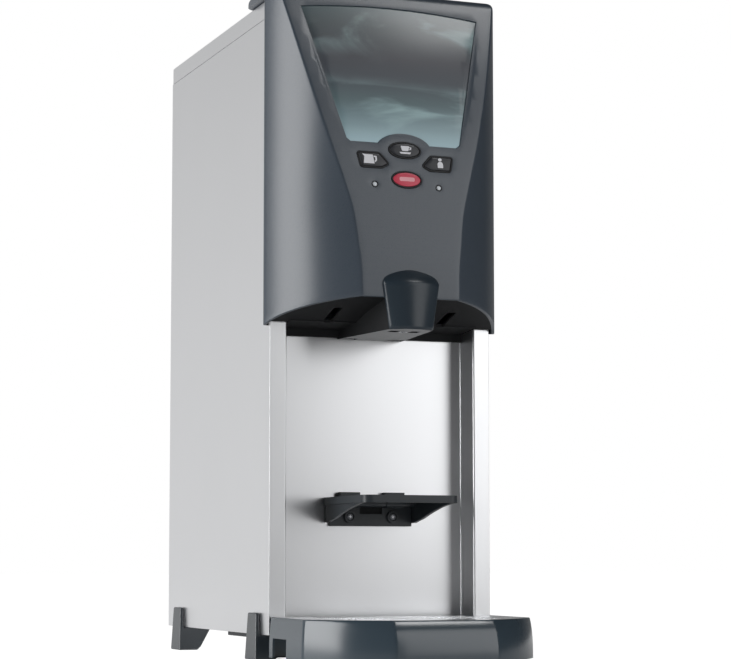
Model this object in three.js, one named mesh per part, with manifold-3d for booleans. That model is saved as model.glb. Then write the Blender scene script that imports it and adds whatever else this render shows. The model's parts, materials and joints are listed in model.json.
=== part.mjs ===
// Countertop hot water dispenser: a sheet metal column with a moulded hood, four push buttons, a spout,
// a fold-up cup shelf and a slide-out drip tray. Sizes are in millimetres, +Z is up, the front faces -Y.
import * as THREE from "three";
import { mergeVertices } from "three/addons/utils/BufferGeometryUtils.js";
import Module from "manifold-3d";

// Fits shared by all pieces
const GAP = 0.3;
const WELD = 0.0001;
const OVERRUN = 5;

// Column: the casing of bent sheet
const BODY_WIDTH = 235;
const BODY_DEPTH = 352;
const BODY_BOTTOM = 25;
const BODY_TOP = 657;
const SHEET = 1.2;
const FLANGE_WIDTH = 17.6;
const RECESS_DEPTH = 33;
const RETURN_LAP = 12;
const LID_SKIRT = 18.5;
const LID_BEND = 2.5;
const TOP_FLANGE = 9;
const REAR_FLANGE = 14;
const BASE_LIP = 12;
const PANEL_HEM = 9;
const VENT_WIDTH = 60;
const VENT_HEIGHT = 5;
const VENT_PITCH = 11;
const VENT_DROP = 97;
const VENT_COUNT = 5;

// Hood: the moulded front with its raised centre facet
const HOOD_OVERHANG = 6.5;
const HOOD_WALL = 3;
const HOOD_HEIGHT = 340.5;
const HOOD_ARCH_RISE = 23;
const COWL_HEIGHT = 11;
const HOOD_WRAP = 2.5;
const HOOD_SEAT_LIP = 15;
const HOOD_TOP_ROUND = 8;
const FACET_REACH_BOTTOM = 78.3;
const FACET_REACH_TOP = 15.8;
const FACET_BEND_POWER = 1.8;
const FACET_HALF_BOTTOM = 50.7;
const FACET_SIDE_MARGIN = 6.8;
const FACET_BEVEL = 1.2;
const FLANK_ENTRY = 22;
const FACET_SHARES = [
  [0, 0], [0.094, 0.0135], [0.164, 0.05], [0.27, 0.116], [0.36, 0.23],
  [0.447, 0.353], [0.547, 0.489], [0.737, 0.717], [1, 1],
];
const ARCH_POWER = 1.4;
const COWL_DEPTH = 64;
const COWL_CORNER = 12;
const FLANK_STEPS = 8;
const HOOD_ROWS = 16;
const ARCH_STEPS = 10;
const ROUND_SHARE = 0.8;

// Underside of the hood with the spout arm
const UNDERSIDE_WALL = 2.5;
const UNDERSIDE_RECESS = 1.5;
const SPOUT_DROP = 7.9;
const LIP_DROP = 6.5;
const LIP_THICK = 3;
const ARM_HALF_REAR = 35;
const ARM_HALF_FRONT = 22.3;
const SLOT_X = 60;
const SLOT_WIDTH = 9;
const SLOT_LENGTH = 34;
const SLOT_REACH = 6;
const NOTCH_DEPTH = 12.5;
const NOTCH_REAR_X = 25;
const NOTCH_REAR_WIDTH = 15.5;
const NOTCH_FRONT_X = 10.8;
const NOTCH_FRONT_WIDTH = 9.5;
const NOTCH_REACH = 66;

// Spout nose and outlet
const NOSE_HALF_BOTTOM = 22.8;
const NOSE_HALF_TOP = 29.3;
const NOSE_HEIGHT = 44.6;
const NOSE_DOME = 14;
const NOSE_REACH = 89;
const NOSE_WALL = 2.5;
const NOSE_BULGE = 8;
const NOSE_EASE = 1.3;
const NOSE_ROWS = 6;
const TONGUE_SHARES = [0.8, 0.55, 0.3, 0.1];
const NOZZLE_REACH = 58;
const NOZZLE_RADIUS = 4.5;
const NOZZLE_BORE = 3.2;
const NOZZLE_DROP = 0.5;
const NOZZLE_LENGTH = 12.5;
const NOZZLE_COLLAR = 2;
const HOSE_RADIUS = 6;

// Graphic window
const WINDOW_DROP = 24;
const WINDOW_RISE = 6;
const WINDOW_HEIGHT = 139.5;
const WINDOW_SIDE_MARGIN = 22.6;
const WINDOW_TAPER = 35.4;
const WINDOW_INSET = 1.3;
const WINDOW_THICK = 1.5;
const WINDOW_CORNER = 3;
const NOTCH_HALF = 29;
const NOTCH_RISE = 17;
const GRAPHIC_LAP = 4;
const GRAPHIC_THICK = 2;
const BACKLIGHT_THICK = 8;
const BACKLIGHT_HALF = 56;
const BACKLIGHT_MARGIN = 15;

// Keypad: four buttons in a rim frame on the facet
const KEYPAD_DROP = 21.5;
const BUTTON_PROUD = 1.2;
const BUTTON_BEVEL = 0.8;
const BUTTON_FLANGE = 1;
const BUTTON_FLANGE_THICK = 1.5;
const RIM_WIDTH = 1.7;
const RIM_PROUD = 0.5;
const FRAME_SETBACK = 3.6;
const FRAME_THICK = 1.6;
const FRAME_HALF = 57;
const FRAME_LOW = -10;
const FRAME_HIGH = 15.3;
const OVAL_LIFT = 15.5;
const CUP_HALF_WIDTH = 15.4;
const CUP_HALF_HEIGHT = 7;
const STOP_DROP = 14.8;
const STOP_HALF_WIDTH = 14.2;
const STOP_HALF_HEIGHT = 7;
const SIDE_OUTER_TOP = 49.1;
const SIDE_OUTER_BOTTOM = 46.3;
const SIDE_INNER_TOP = 27.8;
const SIDE_INNER_BOTTOM = 25.6;
const SIDE_TIP = 19.2;
const SIDE_TIP_HEIGHT = 0.6;
const SIDE_TOP_HEIGHT = 10.2;
const SIDE_BOTTOM_HEIGHT = -3;
const SIDE_CORNER = 1.6;
const LENS_X = 33.7;
const LENS_DROP = 21.2;
const LENS_RADIUS = 2.4;
const LENS_FLANGE = 1;
const LENS_FLANGE_THICK = 1.2;
const LENS_PROUD = 0.5;
const DOME_SHARE = 0.6;
const BOARD_SETBACK = 14;
const BOARD_THICK = 1.6;
const BOARD_HALF = 60;
const BOARD_LOW = -27;
const BOARD_HIGH = 15;
const POST_RADIUS = 3;
const POST_X = 54;
const MAT_THICK = 2;
const DOME_RADIUS = 4;
const DOME_HEIGHT = 2.4;
const CHIP_HEIGHT = 4;
const CHIP_HALF = 11;

// Cup shelf on the splash panel
const SHELF_TOP = 160;
const SHELF_HALF = 50;
const SHELF_FRONT = 82;
const SHELF_THICK = 3;
const SHELF_RIM = 7.3;
const SHELF_RIM_WALL = 2.5;
const SHELF_CORNER = 10;
const SHELF_REAR_CORNER = 2.5;
const SHELF_GUSSET = 24.8;
const SHELF_GUSSET_THICK = 3.4;
const GUSSET_POINTS = [[-19, 23.5], [-5, 21.2], [13.5, 16.6], [30, 13.2], [45, 10.4], [61, 8.2], [70, 7.3]];
const PIN_SETBACK = 24;
const PIN_HEIGHT = 155;
const PIN_RADIUS = 2.2;
const PIN_HALF = 46;
const LUG_INNER = 13.5;
const LUG_OUTER = 34.5;
const LUG_RADIUS = 5;
const LUG_ROOM = 13;
const SHELF_TAIL = 6.8;
const LUG_TOP = 165.5;
const KNUCKLE_RADIUS = 4.4;
const MOUNT_HALF = 44;
const MOUNT_BOTTOM = 131.7;
const MOUNT_THICK = 3.5;
const POCKET_HALF = 12;
const POCKET_LOW = 144;
const POCKET_HIGH = 152;
const BOSS_RADIUS = 6;
const BOSS_HEIGHT = 3;
const SCREW_X = 23;
const SCREW_HEIGHT = 141;
const SCREW_HEAD = 3.6;
const SCREW_HEAD_THICK = 2;
const SCREW_SHANK = 1.8;

// Drip tray and its grid
const TRAY_TOP = 42.5;
const TRAY_SIDE_INSET = 1.8;
const TRAY_REAR = 3;
const TRAY_CORNER = 97;
const TRAY_FACET_HALF = 50;
const TRAY_REACH = 157.4;
const TRAY_FLARE = 2.3;
const TRAY_SLOPE = 7.3;
const TRAY_BULGE = 9;
const TRAY_BOTTOM = 4;
const TRAY_WALL = 2.5;
const TRAY_FLOOR = 24;
const TRAY_LEDGE = 4;
const TRAY_STEPS = 6;
const TRAY_SWELL_POWER = 3;
const TRAY_SHARES = [0.62, 0.32, 0.14, 0];
const TRAY_WINDOW_REAR = 13;
const TRAY_WINDOW_FRONT = 53;
const TRAY_WINDOW_TOP = 22.7;
const GRID_THICK = 1.5;
const GRID_SLOT_PITCH = 14;
const GRID_SLOT_WIDTH = 6;
const GRID_SLOT_HALF = 34;
const GRID_SLOT_X = 46;
const GRID_SLOTS = 8;
const GRID_FIRST_SLOT = 16;
const RUNNER_SIDE_ROOM = 51.5;
const RUNNER_WIDTH = 13;
const RUNNER_BOTTOM = 15.8;
const RUNNER_THICK = 5;
const RUNNER_LENGTH = 140;
const RAIL_WALL = 2.5;
const RAIL_FRONT = 20;
const RAIL_REAR = 149;
const RAIL_WING_FRONT = 62;
const RAIL_WING_THICK = 4;
const RAIL_WING_INSET = 5.5;

// Feet
const FOOT_FIN = 6;
const FOOT_FIN_TOP = 4.2;
const FOOT_HEIGHT = 46;
const FOOT_INSET_TOP = 31;
const FOOT_INSET_BOTTOM = 19;
const FOOT_HEEL = 4;
const FOOT_LENGTH = 26;
const FOOT_SPREAD = 4;
const FRONT_FOOT_START = 28;
const REAR_FOOT_START = 60.5;

// Tank and what it carries
const TANK_SIDE_ROOM = 22.5;
const TANK_REAR_ROOM = 50;
const TANK_CORNER = 22;
const TANK_WALL = 2;
const TANK_FRONT_ROOM = 39;
const STAND_HEIGHT = 50;
const TANK_HEADROOM = 157;
const JACKET = 8;
const JACKET_MARGIN = 12;
const TANK_LID_RIM = 8;
const STAND_WALL = 2;
const STAND_FOOT = 14;
const STAND_INSET = 12;
const ELEMENT_ROD = 4;
const ELEMENT_HALF = 32;
const ELEMENT_RISE = 55;
const ELEMENT_INSET = 112;
const ELEMENT_HEAD = 24;
const BOW_SHARE = 0.98;
const TERMINAL_HEIGHT = 22;
const PROBE_RADIUS = 3;
const PROBE_X = 60;
const PROBE_INSET = 48;
const PROBE_LENGTH = 60;
const SENSOR_LENGTH = 200;
const BUSH_RADIUS = 9;
const BUSH_HEIGHT = 12;
const CUTOUT_RADIUS = 13;
const CUTOUT_HEIGHT = 14;
const CUTOUT_INSET = 42;

// Water path
const OUTLET_RISE = 52.4;
const PIPE_RADIUS = 8;
const PIPE_FLANGE = 14;
const PIPE_FLANGE_THICK = 3;
const VALVE_HALF = 17;
const VALVE_HEIGHT = 30;
const VALVE_FRONT = 12;
const COIL_RADIUS = 14;
const COIL_HEIGHT = 34;
const SPIGOT_LENGTH = 18;
const INLET_X = -58;
const INLET_HEIGHT = 62;
const INLET_RADIUS = 8;
const INLET_REACH = 16;
const INLET_NUT = 11;
const INLET_NUT_THICK = 6;
const INLET_VALVE_DEPTH = 26;
const INLET_VALVE_HALF = 15;
const INLET_HOSE_X = -20;
const DRAIN_X = 40;
const DRAIN_INSET = 38;
const DRAIN_RADIUS = 8;
const DRAIN_CAP = 11;
const DRAIN_CAP_HEIGHT = 6;

// Electrical pieces at the back
const GLAND_X = 70;
const GLAND_HEIGHT = 58;
const GLAND_RADIUS = 8;
const GLAND_BORE = 4;
const GLAND_NUT = 11;
const GLAND_NUT_THICK = 5;
const GLAND_REACH = 14;
const SWITCH_X = 70;
const SWITCH_HEIGHT = 100;
const SWITCH_HALF_WIDTH = 7;
const SWITCH_HALF_HEIGHT = 11;
const SWITCH_BEZEL = 3;
const SWITCH_BEZEL_THICK = 2;
const SWITCH_BODY_DEPTH = 18;
const SWITCH_ANGLE = 12;
const ROCKER_DEPTH = 6;
const ROCKER_PROUD = 2.5;
const BLOCK_X = 10;
const BLOCK_HALF = 22;
const BLOCK_DEPTH = 18;
const BLOCK_HEIGHT = 20;
const BLOCK_REAR_ROOM = 34;
const RELAY_HEIGHT = 200;
const RELAY_HALF = 24;
const RELAY_TALL = 50;
const RELAY_DEPTH = 22;

// Places and sizes that follow from the sizes above
const BODY_HALF = BODY_WIDTH / 2;
const RECESS_HALF = BODY_HALF - FLANGE_WIDTH;
const VENT_BOTTOM = BODY_TOP - VENT_DROP;
const HOOD_HALF = BODY_HALF + HOOD_OVERHANG;
const HOOD_TOP = BODY_TOP + COWL_HEIGHT;
const HOOD_BOTTOM = HOOD_TOP - HOOD_HEIGHT;
const HOOD_ARCH = HOOD_BOTTOM + HOOD_ARCH_RISE;
const RISE_TOP = HOOD_TOP - HOOD_ARCH;
const FACET_HALF_TOP = HOOD_HALF - FACET_SIDE_MARGIN;
const SPOUT_BOTTOM = HOOD_BOTTOM - SPOUT_DROP;
const LIP_BOTTOM = HOOD_BOTTOM - LIP_DROP;
const LIP_SETBACK = RECESS_DEPTH - 2 * GAP;
const NOSE_SHOULDER = SPOUT_BOTTOM + NOSE_HEIGHT;
const NOSE_TOP = NOSE_SHOULDER + NOSE_DOME;
const NOZZLE_BOTTOM = SPOUT_BOTTOM - NOZZLE_DROP;
const NOZZLE_TOP = NOZZLE_BOTTOM + NOZZLE_LENGTH;
const WINDOW_TOP = HOOD_TOP - WINDOW_DROP;
const WINDOW_BOTTOM = WINDOW_TOP - WINDOW_HEIGHT;
const WINDOW_HALF_TOP = FACET_HALF_TOP - WINDOW_SIDE_MARGIN;
const WINDOW_HALF_BOTTOM = WINDOW_HALF_TOP - WINDOW_TAPER;
const KEYPAD_HEIGHT = WINDOW_BOTTOM - KEYPAD_DROP;
const TRAY_HALF = BODY_HALF - TRAY_SIDE_INSET;
const RUNNER_INNER = BODY_HALF - RUNNER_SIDE_ROOM;
const TANK_WIDTH = BODY_WIDTH - 2 * TANK_SIDE_ROOM;
const TANK_FRONT = RECESS_DEPTH + TANK_FRONT_ROOM;
const TANK_BACK = BODY_DEPTH - TANK_REAR_ROOM;
const TANK_BOTTOM = BODY_BOTTOM + STAND_HEIGHT;
const TANK_TOP = BODY_TOP - TANK_HEADROOM;
const ELEMENT_BOTTOM = TANK_BOTTOM + ELEMENT_RISE;
const ELEMENT_SETBACK = TANK_BACK - ELEMENT_INSET;
const PROBE_SETBACK = TANK_FRONT + PROBE_INSET;
const CUTOUT_SETBACK = TANK_BACK - CUTOUT_INSET;
const DRAIN_SETBACK = TANK_FRONT + DRAIN_INSET;
const OUTLET_HEIGHT = SPOUT_BOTTOM + OUTLET_RISE;
const HOSE_END = OUTLET_HEIGHT - SPIGOT_LENGTH;
const BLOCK_SETBACK = BODY_DEPTH - BLOCK_REAR_ROOM;
const OVERALL_FRONT = TRAY_REACH + TRAY_SLOPE + TRAY_FLARE;
const OVERALL_BACK = BODY_DEPTH + INLET_REACH;

const wasm = await Module();
wasm.setup();

const finish = (color, roughness, metalness) =>
  new THREE.MeshStandardMaterial({ color, roughness, metalness });
const STEEL = finish(0xc8cacc, 0.35, 0.9);
const BRIGHT_STEEL = finish(0xd8dade, 0.25, 1);
const HOOD_PLASTIC = finish(0x4a525c, 0.4, 0);
const DARK_PLASTIC = finish(0x22272b, 0.5, 0);
const TRAY_PLASTIC = finish(0x6f7a82, 0.45, 0);
const BLACK_PLASTIC = finish(0x0c0e10, 0.4, 0);
const RED_PLASTIC = finish(0xc8283c, 0.35, 0);
const GLASS_PLASTIC = finish(0x5f7a7d, 0.1, 0);
const LAMP_WHITE = finish(0xe8ecf0, 0.3, 0);
const BOARD_GREEN = finish(0x1f5a3a, 0.6, 0);
const RUBBER = finish(0x2a2a2c, 0.9, 0);
const FOAM = finish(0x3a3a3a, 1, 0);
const BRASS = finish(0xb08d4a, 0.35, 1);
const SILICONE = finish(0xd9d4cc, 0.6, 0);
const CERAMIC = finish(0xe9e6df, 0.5, 0);

// A closed geometry as a solid that can be joined and cut.
function solid(geometry) {
  const bare = geometry.index ? geometry.toNonIndexed() : geometry.clone();
  bare.deleteAttribute("normal");
  bare.deleteAttribute("uv");
  const merged = mergeVertices(bare, WELD);
  return new wasm.Manifold(
    new wasm.Mesh({
      numProp: 3,
      vertProperties: merged.attributes.position.array,
      triVerts: new Uint32Array(merged.index.array),
    }),
  );
}

function join(...shapes) {
  return shapes.reduce((all, one) => all.add(one));
}

function cut(shape, ...cutters) {
  return cutters.reduce((left, one) => left.subtract(one), shape);
}

function block([x0, x1], [y0, y1], [z0, z1]) {
  const box = new THREE.BoxGeometry(x1 - x0, y1 - y0, z1 - z0);
  return solid(box.translate((x0 + x1) / 2, (y0 + y1) / 2, (z0 + z1) / 2));
}

function extrude(outline, depth) {
  const shape = new THREE.Shape(outline.map(([u, v]) => new THREE.Vector2(u, v)));
  return new THREE.ExtrudeGeometry(shape, { depth, bevelEnabled: false });
}

// Outline in x and y, drawn upwards.
function prismZ(outline, [z0, z1]) {
  return solid(extrude(outline, z1 - z0).translate(0, 0, z0));
}

// Outline in y and z, drawn along x.
function prismX(outline, [x0, x1]) {
  const turn = new THREE.Matrix4().makeBasis(
    new THREE.Vector3(0, 1, 0), new THREE.Vector3(0, 0, 1), new THREE.Vector3(1, 0, 0));
  return solid(extrude(outline, x1 - x0).applyMatrix4(turn).translate(x0, 0, 0));
}

// Outline in x and z, drawn along y.
function prismY(outline, [y0, y1]) {
  const turn = new THREE.Matrix4().makeBasis(
    new THREE.Vector3(1, 0, 0), new THREE.Vector3(0, 0, 1), new THREE.Vector3(0, -1, 0));
  return solid(extrude(outline, y1 - y0).applyMatrix4(turn).translate(0, y1, 0));
}

// A round rod between two points, or a cone where the end radius differs.
function rod(from, to, radius, sides = 20, endRadius = radius) {
  const a = new THREE.Vector3(...from);
  const b = new THREE.Vector3(...to);
  const along = b.clone().sub(a);
  const turn = new THREE.Quaternion().setFromUnitVectors(
    new THREE.Vector3(0, 1, 0), along.clone().normalize());
  const middle = a.clone().add(b).multiplyScalar(1 / 2);
  const shape = new THREE.CylinderGeometry(endRadius, radius, along.length(), sides);
  return solid(shape.applyQuaternion(turn).translate(middle.x, middle.y, middle.z));
}

// A round hose or bent rod along a smooth route.
function hose(points, radius, steps, sides = 8) {
  const route = new THREE.CatmullRomCurve3(points.map((p) => new THREE.Vector3(...p)));
  const section = new THREE.Shape(ellipse(radius, radius, sides).map(([u, v]) => new THREE.Vector2(u, v)));
  return solid(new THREE.ExtrudeGeometry(section, { steps, extrudePath: route }));
}

// A solid through a stack of level rings that all have the same number of points.
function loft(rings) {
  const flat = rings[0].points.map(([x, y]) => new THREE.Vector2(x, y));
  const forward = THREE.ShapeUtils.area(flat) > 0;
  const stack = rings.map(({ z, points }) => {
    const ordered = forward ? points : [...points].reverse();
    return ordered.map(([x, y]) => [x, y, z]);
  });
  const count = flat.length;
  const index = [];
  for (let level = 0; level < stack.length - 1; level++) {
    for (let i = 0; i < count; i++) {
      const a = level * count + i;
      const b = level * count + ((i + 1) % count);
      index.push(a, b, b + count, a, b + count, a + count);
    }
  }
  const cap = (ring, start, up) => {
    const contour = ring.map(([x, y]) => new THREE.Vector2(x, y));
    for (const [a, b, c] of THREE.ShapeUtils.triangulateShape(contour, [])) {
      index.push(start + a, start + (up ? b : c), start + (up ? c : b));
    }
  };
  cap(stack[0], 0, false);
  cap(stack.at(-1), (stack.length - 1) * count, true);
  const geometry = new THREE.BufferGeometry();
  geometry.setAttribute("position", new THREE.Float32BufferAttribute(stack.flat(2), 3));
  geometry.setIndex(index);
  return solid(geometry);
}

function ellipse(halfWidth, halfHeight, sides = 24, [x, y] = [0, 0]) {
  return Array.from({ length: sides }, (_, i) => {
    const turn = (2 * Math.PI * i) / sides;
    return [x + halfWidth * Math.cos(turn), y + halfHeight * Math.sin(turn)];
  });
}

function rectangle([x0, x1], [y0, y1]) {
  return [[x0, y0], [x1, y0], [x1, y1], [x0, y1]];
}

// Corners rounded off by short curves that start a radius away from the corner.
function rounded(outline, radius, steps = 4) {
  return outline.flatMap((corner, i) => {
    const here = new THREE.Vector2(...corner);
    const before = new THREE.Vector2(...outline.at(i - 1));
    const after = new THREE.Vector2(...outline[(i + 1) % outline.length]);
    const start = here.clone().add(before.clone().sub(here).setLength(radius));
    const end = here.clone().add(after.clone().sub(here).setLength(radius));
    return new THREE.QuadraticBezierCurve(start, here, end).getPoints(steps).map((p) => [p.x, p.y]);
  });
}

// An outline moved outwards by a distance, or inwards where it is negative.
function offset(outline, distance) {
  const way = THREE.ShapeUtils.area(outline.map(([u, v]) => new THREE.Vector2(u, v))) > 0 ? 1 : -1;
  return outline.map((corner, i) => {
    const here = new THREE.Vector2(...corner);
    const into = here.clone().sub(new THREE.Vector2(...outline.at(i - 1))).normalize();
    const out = new THREE.Vector2(...outline[(i + 1) % outline.length]).sub(here).normalize();
    const normal = new THREE.Vector2(into.y + out.y, -into.x - out.x).normalize();
    const stretch = normal.x * into.y - normal.y * into.x;
    return [here.x + (normal.x * distance * way) / stretch, here.y + (normal.y * distance * way) / stretch];
  });
}

// A smooth curve through pairs of shares.
function along(shares, at) {
  const last = shares.length - 1;
  const bounded = Math.min(Math.max(at, 0), 1);
  const i = Math.min(shares.findLastIndex(([start]) => start <= bounded), last - 1);
  const slope = (k) => {
    const [x0, y0] = shares[Math.max(k - 1, 0)];
    const [x1, y1] = shares[Math.min(k + 1, last)];
    return (y1 - y0) / (x1 - x0);
  };
  const [xa, ya] = shares[i];
  const [xb, yb] = shares[i + 1];
  const run = xb - xa;
  const s = (bounded - xa) / run;
  const ease = s * s * (3 - 2 * s);
  return ya + (yb - ya) * ease + run * (slope(i) * s * (1 - s) ** 2 - slope(i + 1) * s * s * (1 - s));
}

function mesh(name, shape, material) {
  const made = shape.getMesh();
  const geometry = new THREE.BufferGeometry();
  geometry.setAttribute("position", new THREE.BufferAttribute(made.vertProperties, 3));
  geometry.setIndex(new THREE.BufferAttribute(made.triVerts, 1));
  geometry.computeVertexNormals();
  const piece = new THREE.Mesh(geometry, material);
  piece.name = name;
  return piece;
}

function group(...pieces) {
  return new THREE.Group().add(...pieces);
}

// How far the raised facet stands in front of the flanges at a height.
function facetReach(z) {
  const rise = Math.max(z - HOOD_ARCH, 0) / RISE_TOP;
  return FACET_REACH_BOTTOM - (FACET_REACH_BOTTOM - FACET_REACH_TOP) * rise ** FACET_BEND_POWER;
}

function facetHalf(z) {
  const rise = Math.max(z - HOOD_ARCH, 0) / RISE_TOP;
  return FACET_HALF_BOTTOM + (FACET_HALF_TOP - FACET_HALF_BOTTOM) * along(FACET_SHARES, rise);
}

// The lower edge of the hood, which rises towards the front.
function archHeight(reach) {
  return HOOD_BOTTOM + (HOOD_ARCH - HOOD_BOTTOM) * (Math.max(reach, 0) / FACET_REACH_BOTTOM) ** ARCH_POWER;
}

function between(a, b) {
  return [Math.min(a, b), Math.max(a, b)];
}

function mirrored(half) {
  return [...half, ...half.map(([x, y]) => [-x, y]).reverse()];
}

// One level of the hood: the side, the bowed flank that leaves it at an angle, and half of the facet.
function hoodRing(z, inset, rear) {
  const half = HOOD_HALF - inset;
  const reach = facetReach(z) - inset;
  const crease = (facetHalf(z) * half) / HOOD_HALF;
  const chord = Math.hypot(half - crease, reach);
  const lean = Math.atan2(half - crease, reach);
  const bow = (chord / 2) * Math.tan((lean - THREE.MathUtils.degToRad(FLANK_ENTRY)) / 2);
  const flank = Array.from({ length: FLANK_STEPS + 1 }, (_, i) => {
    const share = (i / FLANK_STEPS) * (1 - FACET_BEVEL / chord);
    const swell = 4 * bow * share * (1 - share);
    return [
      half + (crease - half) * share + Math.cos(lean) * swell,
      -reach * share - Math.sin(lean) * swell,
    ];
  });
  return mirrored([[half, rear], ...flank, [crease - FACET_BEVEL, -reach]]);
}

function hoodLoft(inset, rear, bottom, top, round) {
  const rings = [];
  for (let i = 0; i <= HOOD_ROWS; i++) {
    const z = bottom + ((top - round - bottom) * i) / HOOD_ROWS;
    rings.push({ z, points: hoodRing(z, inset, rear) });
  }
  for (const turn of [Math.PI / 8, Math.PI / 4, (3 * Math.PI) / 8, Math.PI / 2]) {
    const z = top - round * (1 - Math.sin(turn));
    rings.push({ z, points: hoodRing(z, inset + round * (1 - Math.cos(turn)) * ROUND_SHARE, rear) });
  }
  return loft(rings);
}

// The cowl that reaches back over the lid.
function cowl() {
  const seat = BODY_TOP + GAP;
  const rows = [0, 1 / 4, 1 / 2, 3 / 4, 1].map((share) => {
    const inset = HOOD_TOP_ROUND * ROUND_SHARE * (1 - Math.sqrt(1 - share * share));
    const outline = rectangle([-HOOD_HALF + inset, HOOD_HALF - inset], [-HOOD_WALL / 2, COWL_DEPTH - inset]);
    return { z: seat + (HOOD_TOP - seat) * share, points: cowlOutline(outline) };
  });
  return loft(rows);
}

function cowlOutline([[x0, y0], [x1], [, y1]]) {
  return mirrored([[x1, y0], ...bend([x1, y1 - COWL_CORNER], [x1, y1], [x1 - COWL_CORNER, y1])]);
}

function windowOutline(grow) {
  const lift = WINDOW_BOTTOM - grow;
  const notchHeight = KEYPAD_HEIGHT + OVAL_LIFT;
  const rise = NOTCH_RISE - grow;
  const reach = NOTCH_HALF - grow;
  const start = Math.asin((lift - notchHeight) / rise);
  const notch = Array.from({ length: 2 * FLANK_STEPS + 1 }, (_, i) => {
    const turn = start + ((Math.PI - 2 * start) * i) / (2 * FLANK_STEPS);
    return [reach * Math.cos(turn), notchHeight + rise * Math.sin(turn)];
  });
  const top = Array.from({ length: FLANK_STEPS + 1 }, (_, i) => {
    const across = (2 * i) / FLANK_STEPS - 1;
    return [(WINDOW_HALF_TOP + grow) * across, WINDOW_TOP + grow + WINDOW_RISE * (1 - across * across)];
  });
  const side = WINDOW_HALF_BOTTOM + grow;
  return [...top, ...trimmed([side, lift]), ...notch, ...trimmed([-side, lift]).reverse()];
}

// The small chamfer at a lower corner of the window.
function trimmed([x, y]) {
  const way = Math.sign(x);
  const lean = ((WINDOW_HALF_TOP - WINDOW_HALF_BOTTOM) / (WINDOW_TOP - WINDOW_BOTTOM)) * WINDOW_CORNER;
  return [[x + way * lean, y + WINDOW_CORNER], [x - way * WINDOW_CORNER, y]];
}

// A curved sheet that follows the facet between two depths behind it.
function facetSheet(front, back, half, [z0, z1]) {
  const levels = Array.from({ length: HOOD_ROWS + 1 }, (_, i) => z0 + ((z1 - z0) * i) / HOOD_ROWS);
  const outer = levels.map((z) => [-(facetReach(z) - front), z]);
  const inner = levels.map((z) => [-(facetReach(z) - back), z]).reverse();
  return prismX([...outer, ...inner], [-half, half]);
}

const WINDOW_SPAN = [WINDOW_BOTTOM - 2 * GRAPHIC_LAP, WINDOW_TOP + WINDOW_RISE + 2 * GRAPHIC_LAP];

function displayWindow() {
  const sheet = facetSheet(WINDOW_INSET, WINDOW_INSET + WINDOW_THICK, HOOD_HALF, WINDOW_SPAN);
  return sheet.intersect(prismY(windowOutline(-GAP), [-2 * FACET_REACH_BOTTOM, 0]));
}

function displayGraphic() {
  const front = HOOD_WALL + GAP;
  const sheet = facetSheet(front, front + GRAPHIC_THICK, HOOD_HALF, WINDOW_SPAN);
  return sheet.intersect(prismY(windowOutline(GRAPHIC_LAP), [-2 * FACET_REACH_BOTTOM, 0]));
}

function displayBacklight() {
  const front = HOOD_WALL + GRAPHIC_THICK + 2 * GAP;
  const span = [WINDOW_BOTTOM + BACKLIGHT_MARGIN, WINDOW_TOP - BACKLIGHT_MARGIN];
  return facetSheet(front, front + BACKLIGHT_THICK, BACKLIGHT_HALF, span);
}

// The keypad's own frame of axes: x to the right, y up the facet and z out of it.
function keypadFrame() {
  const step = HOOD_WALL;
  const lean = (facetReach(KEYPAD_HEIGHT - step) - facetReach(KEYPAD_HEIGHT + step)) / (2 * step);
  const place = new THREE.Object3D();
  place.position.set(0, -facetReach(KEYPAD_HEIGHT), KEYPAD_HEIGHT);
  place.rotation.x = Math.atan2(1, lean);
  place.updateMatrix();
  return place;
}
const KEYPAD = keypadFrame();

function sideOutline(way) {
  return rounded([
    [way * SIDE_OUTER_TOP, SIDE_TOP_HEIGHT],
    [way * SIDE_INNER_TOP, SIDE_TOP_HEIGHT],
    [way * SIDE_TIP, SIDE_TIP_HEIGHT],
    [way * SIDE_INNER_BOTTOM, SIDE_BOTTOM_HEIGHT],
    [way * SIDE_OUTER_BOTTOM, SIDE_BOTTOM_HEIGHT],
  ], SIDE_CORNER);
}

const CUP_OUTLINE = ellipse(CUP_HALF_WIDTH, CUP_HALF_HEIGHT, 24, [0, OVAL_LIFT]);
const STOP_OUTLINE = ellipse(STOP_HALF_WIDTH, STOP_HALF_HEIGHT, 24, [0, -STOP_DROP]);
const BUTTONS = {
  jug_button: { outline: sideOutline(-1), material: BLACK_PLASTIC },
  cup_button: { outline: CUP_OUTLINE, material: BLACK_PLASTIC },
  flask_button: { outline: sideOutline(1), material: BLACK_PLASTIC },
  stop_button: { outline: STOP_OUTLINE, material: RED_PLASTIC },
};
const LENSES = { indicator_lens_left: -LENS_X, indicator_lens_right: LENS_X };
const FLANGE_FRONT = -(FRAME_SETBACK + FRAME_THICK + GAP);

function button({ outline }) {
  const cap = loft([
    { z: FLANGE_FRONT, points: outline },
    { z: BUTTON_PROUD - BUTTON_BEVEL, points: outline },
    { z: BUTTON_PROUD, points: offset(outline, -BUTTON_BEVEL) },
  ]);
  const flange = prismZ(offset(outline, BUTTON_FLANGE), [FLANGE_FRONT - BUTTON_FLANGE_THICK, FLANGE_FRONT]);
  return cap.add(flange);
}

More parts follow.
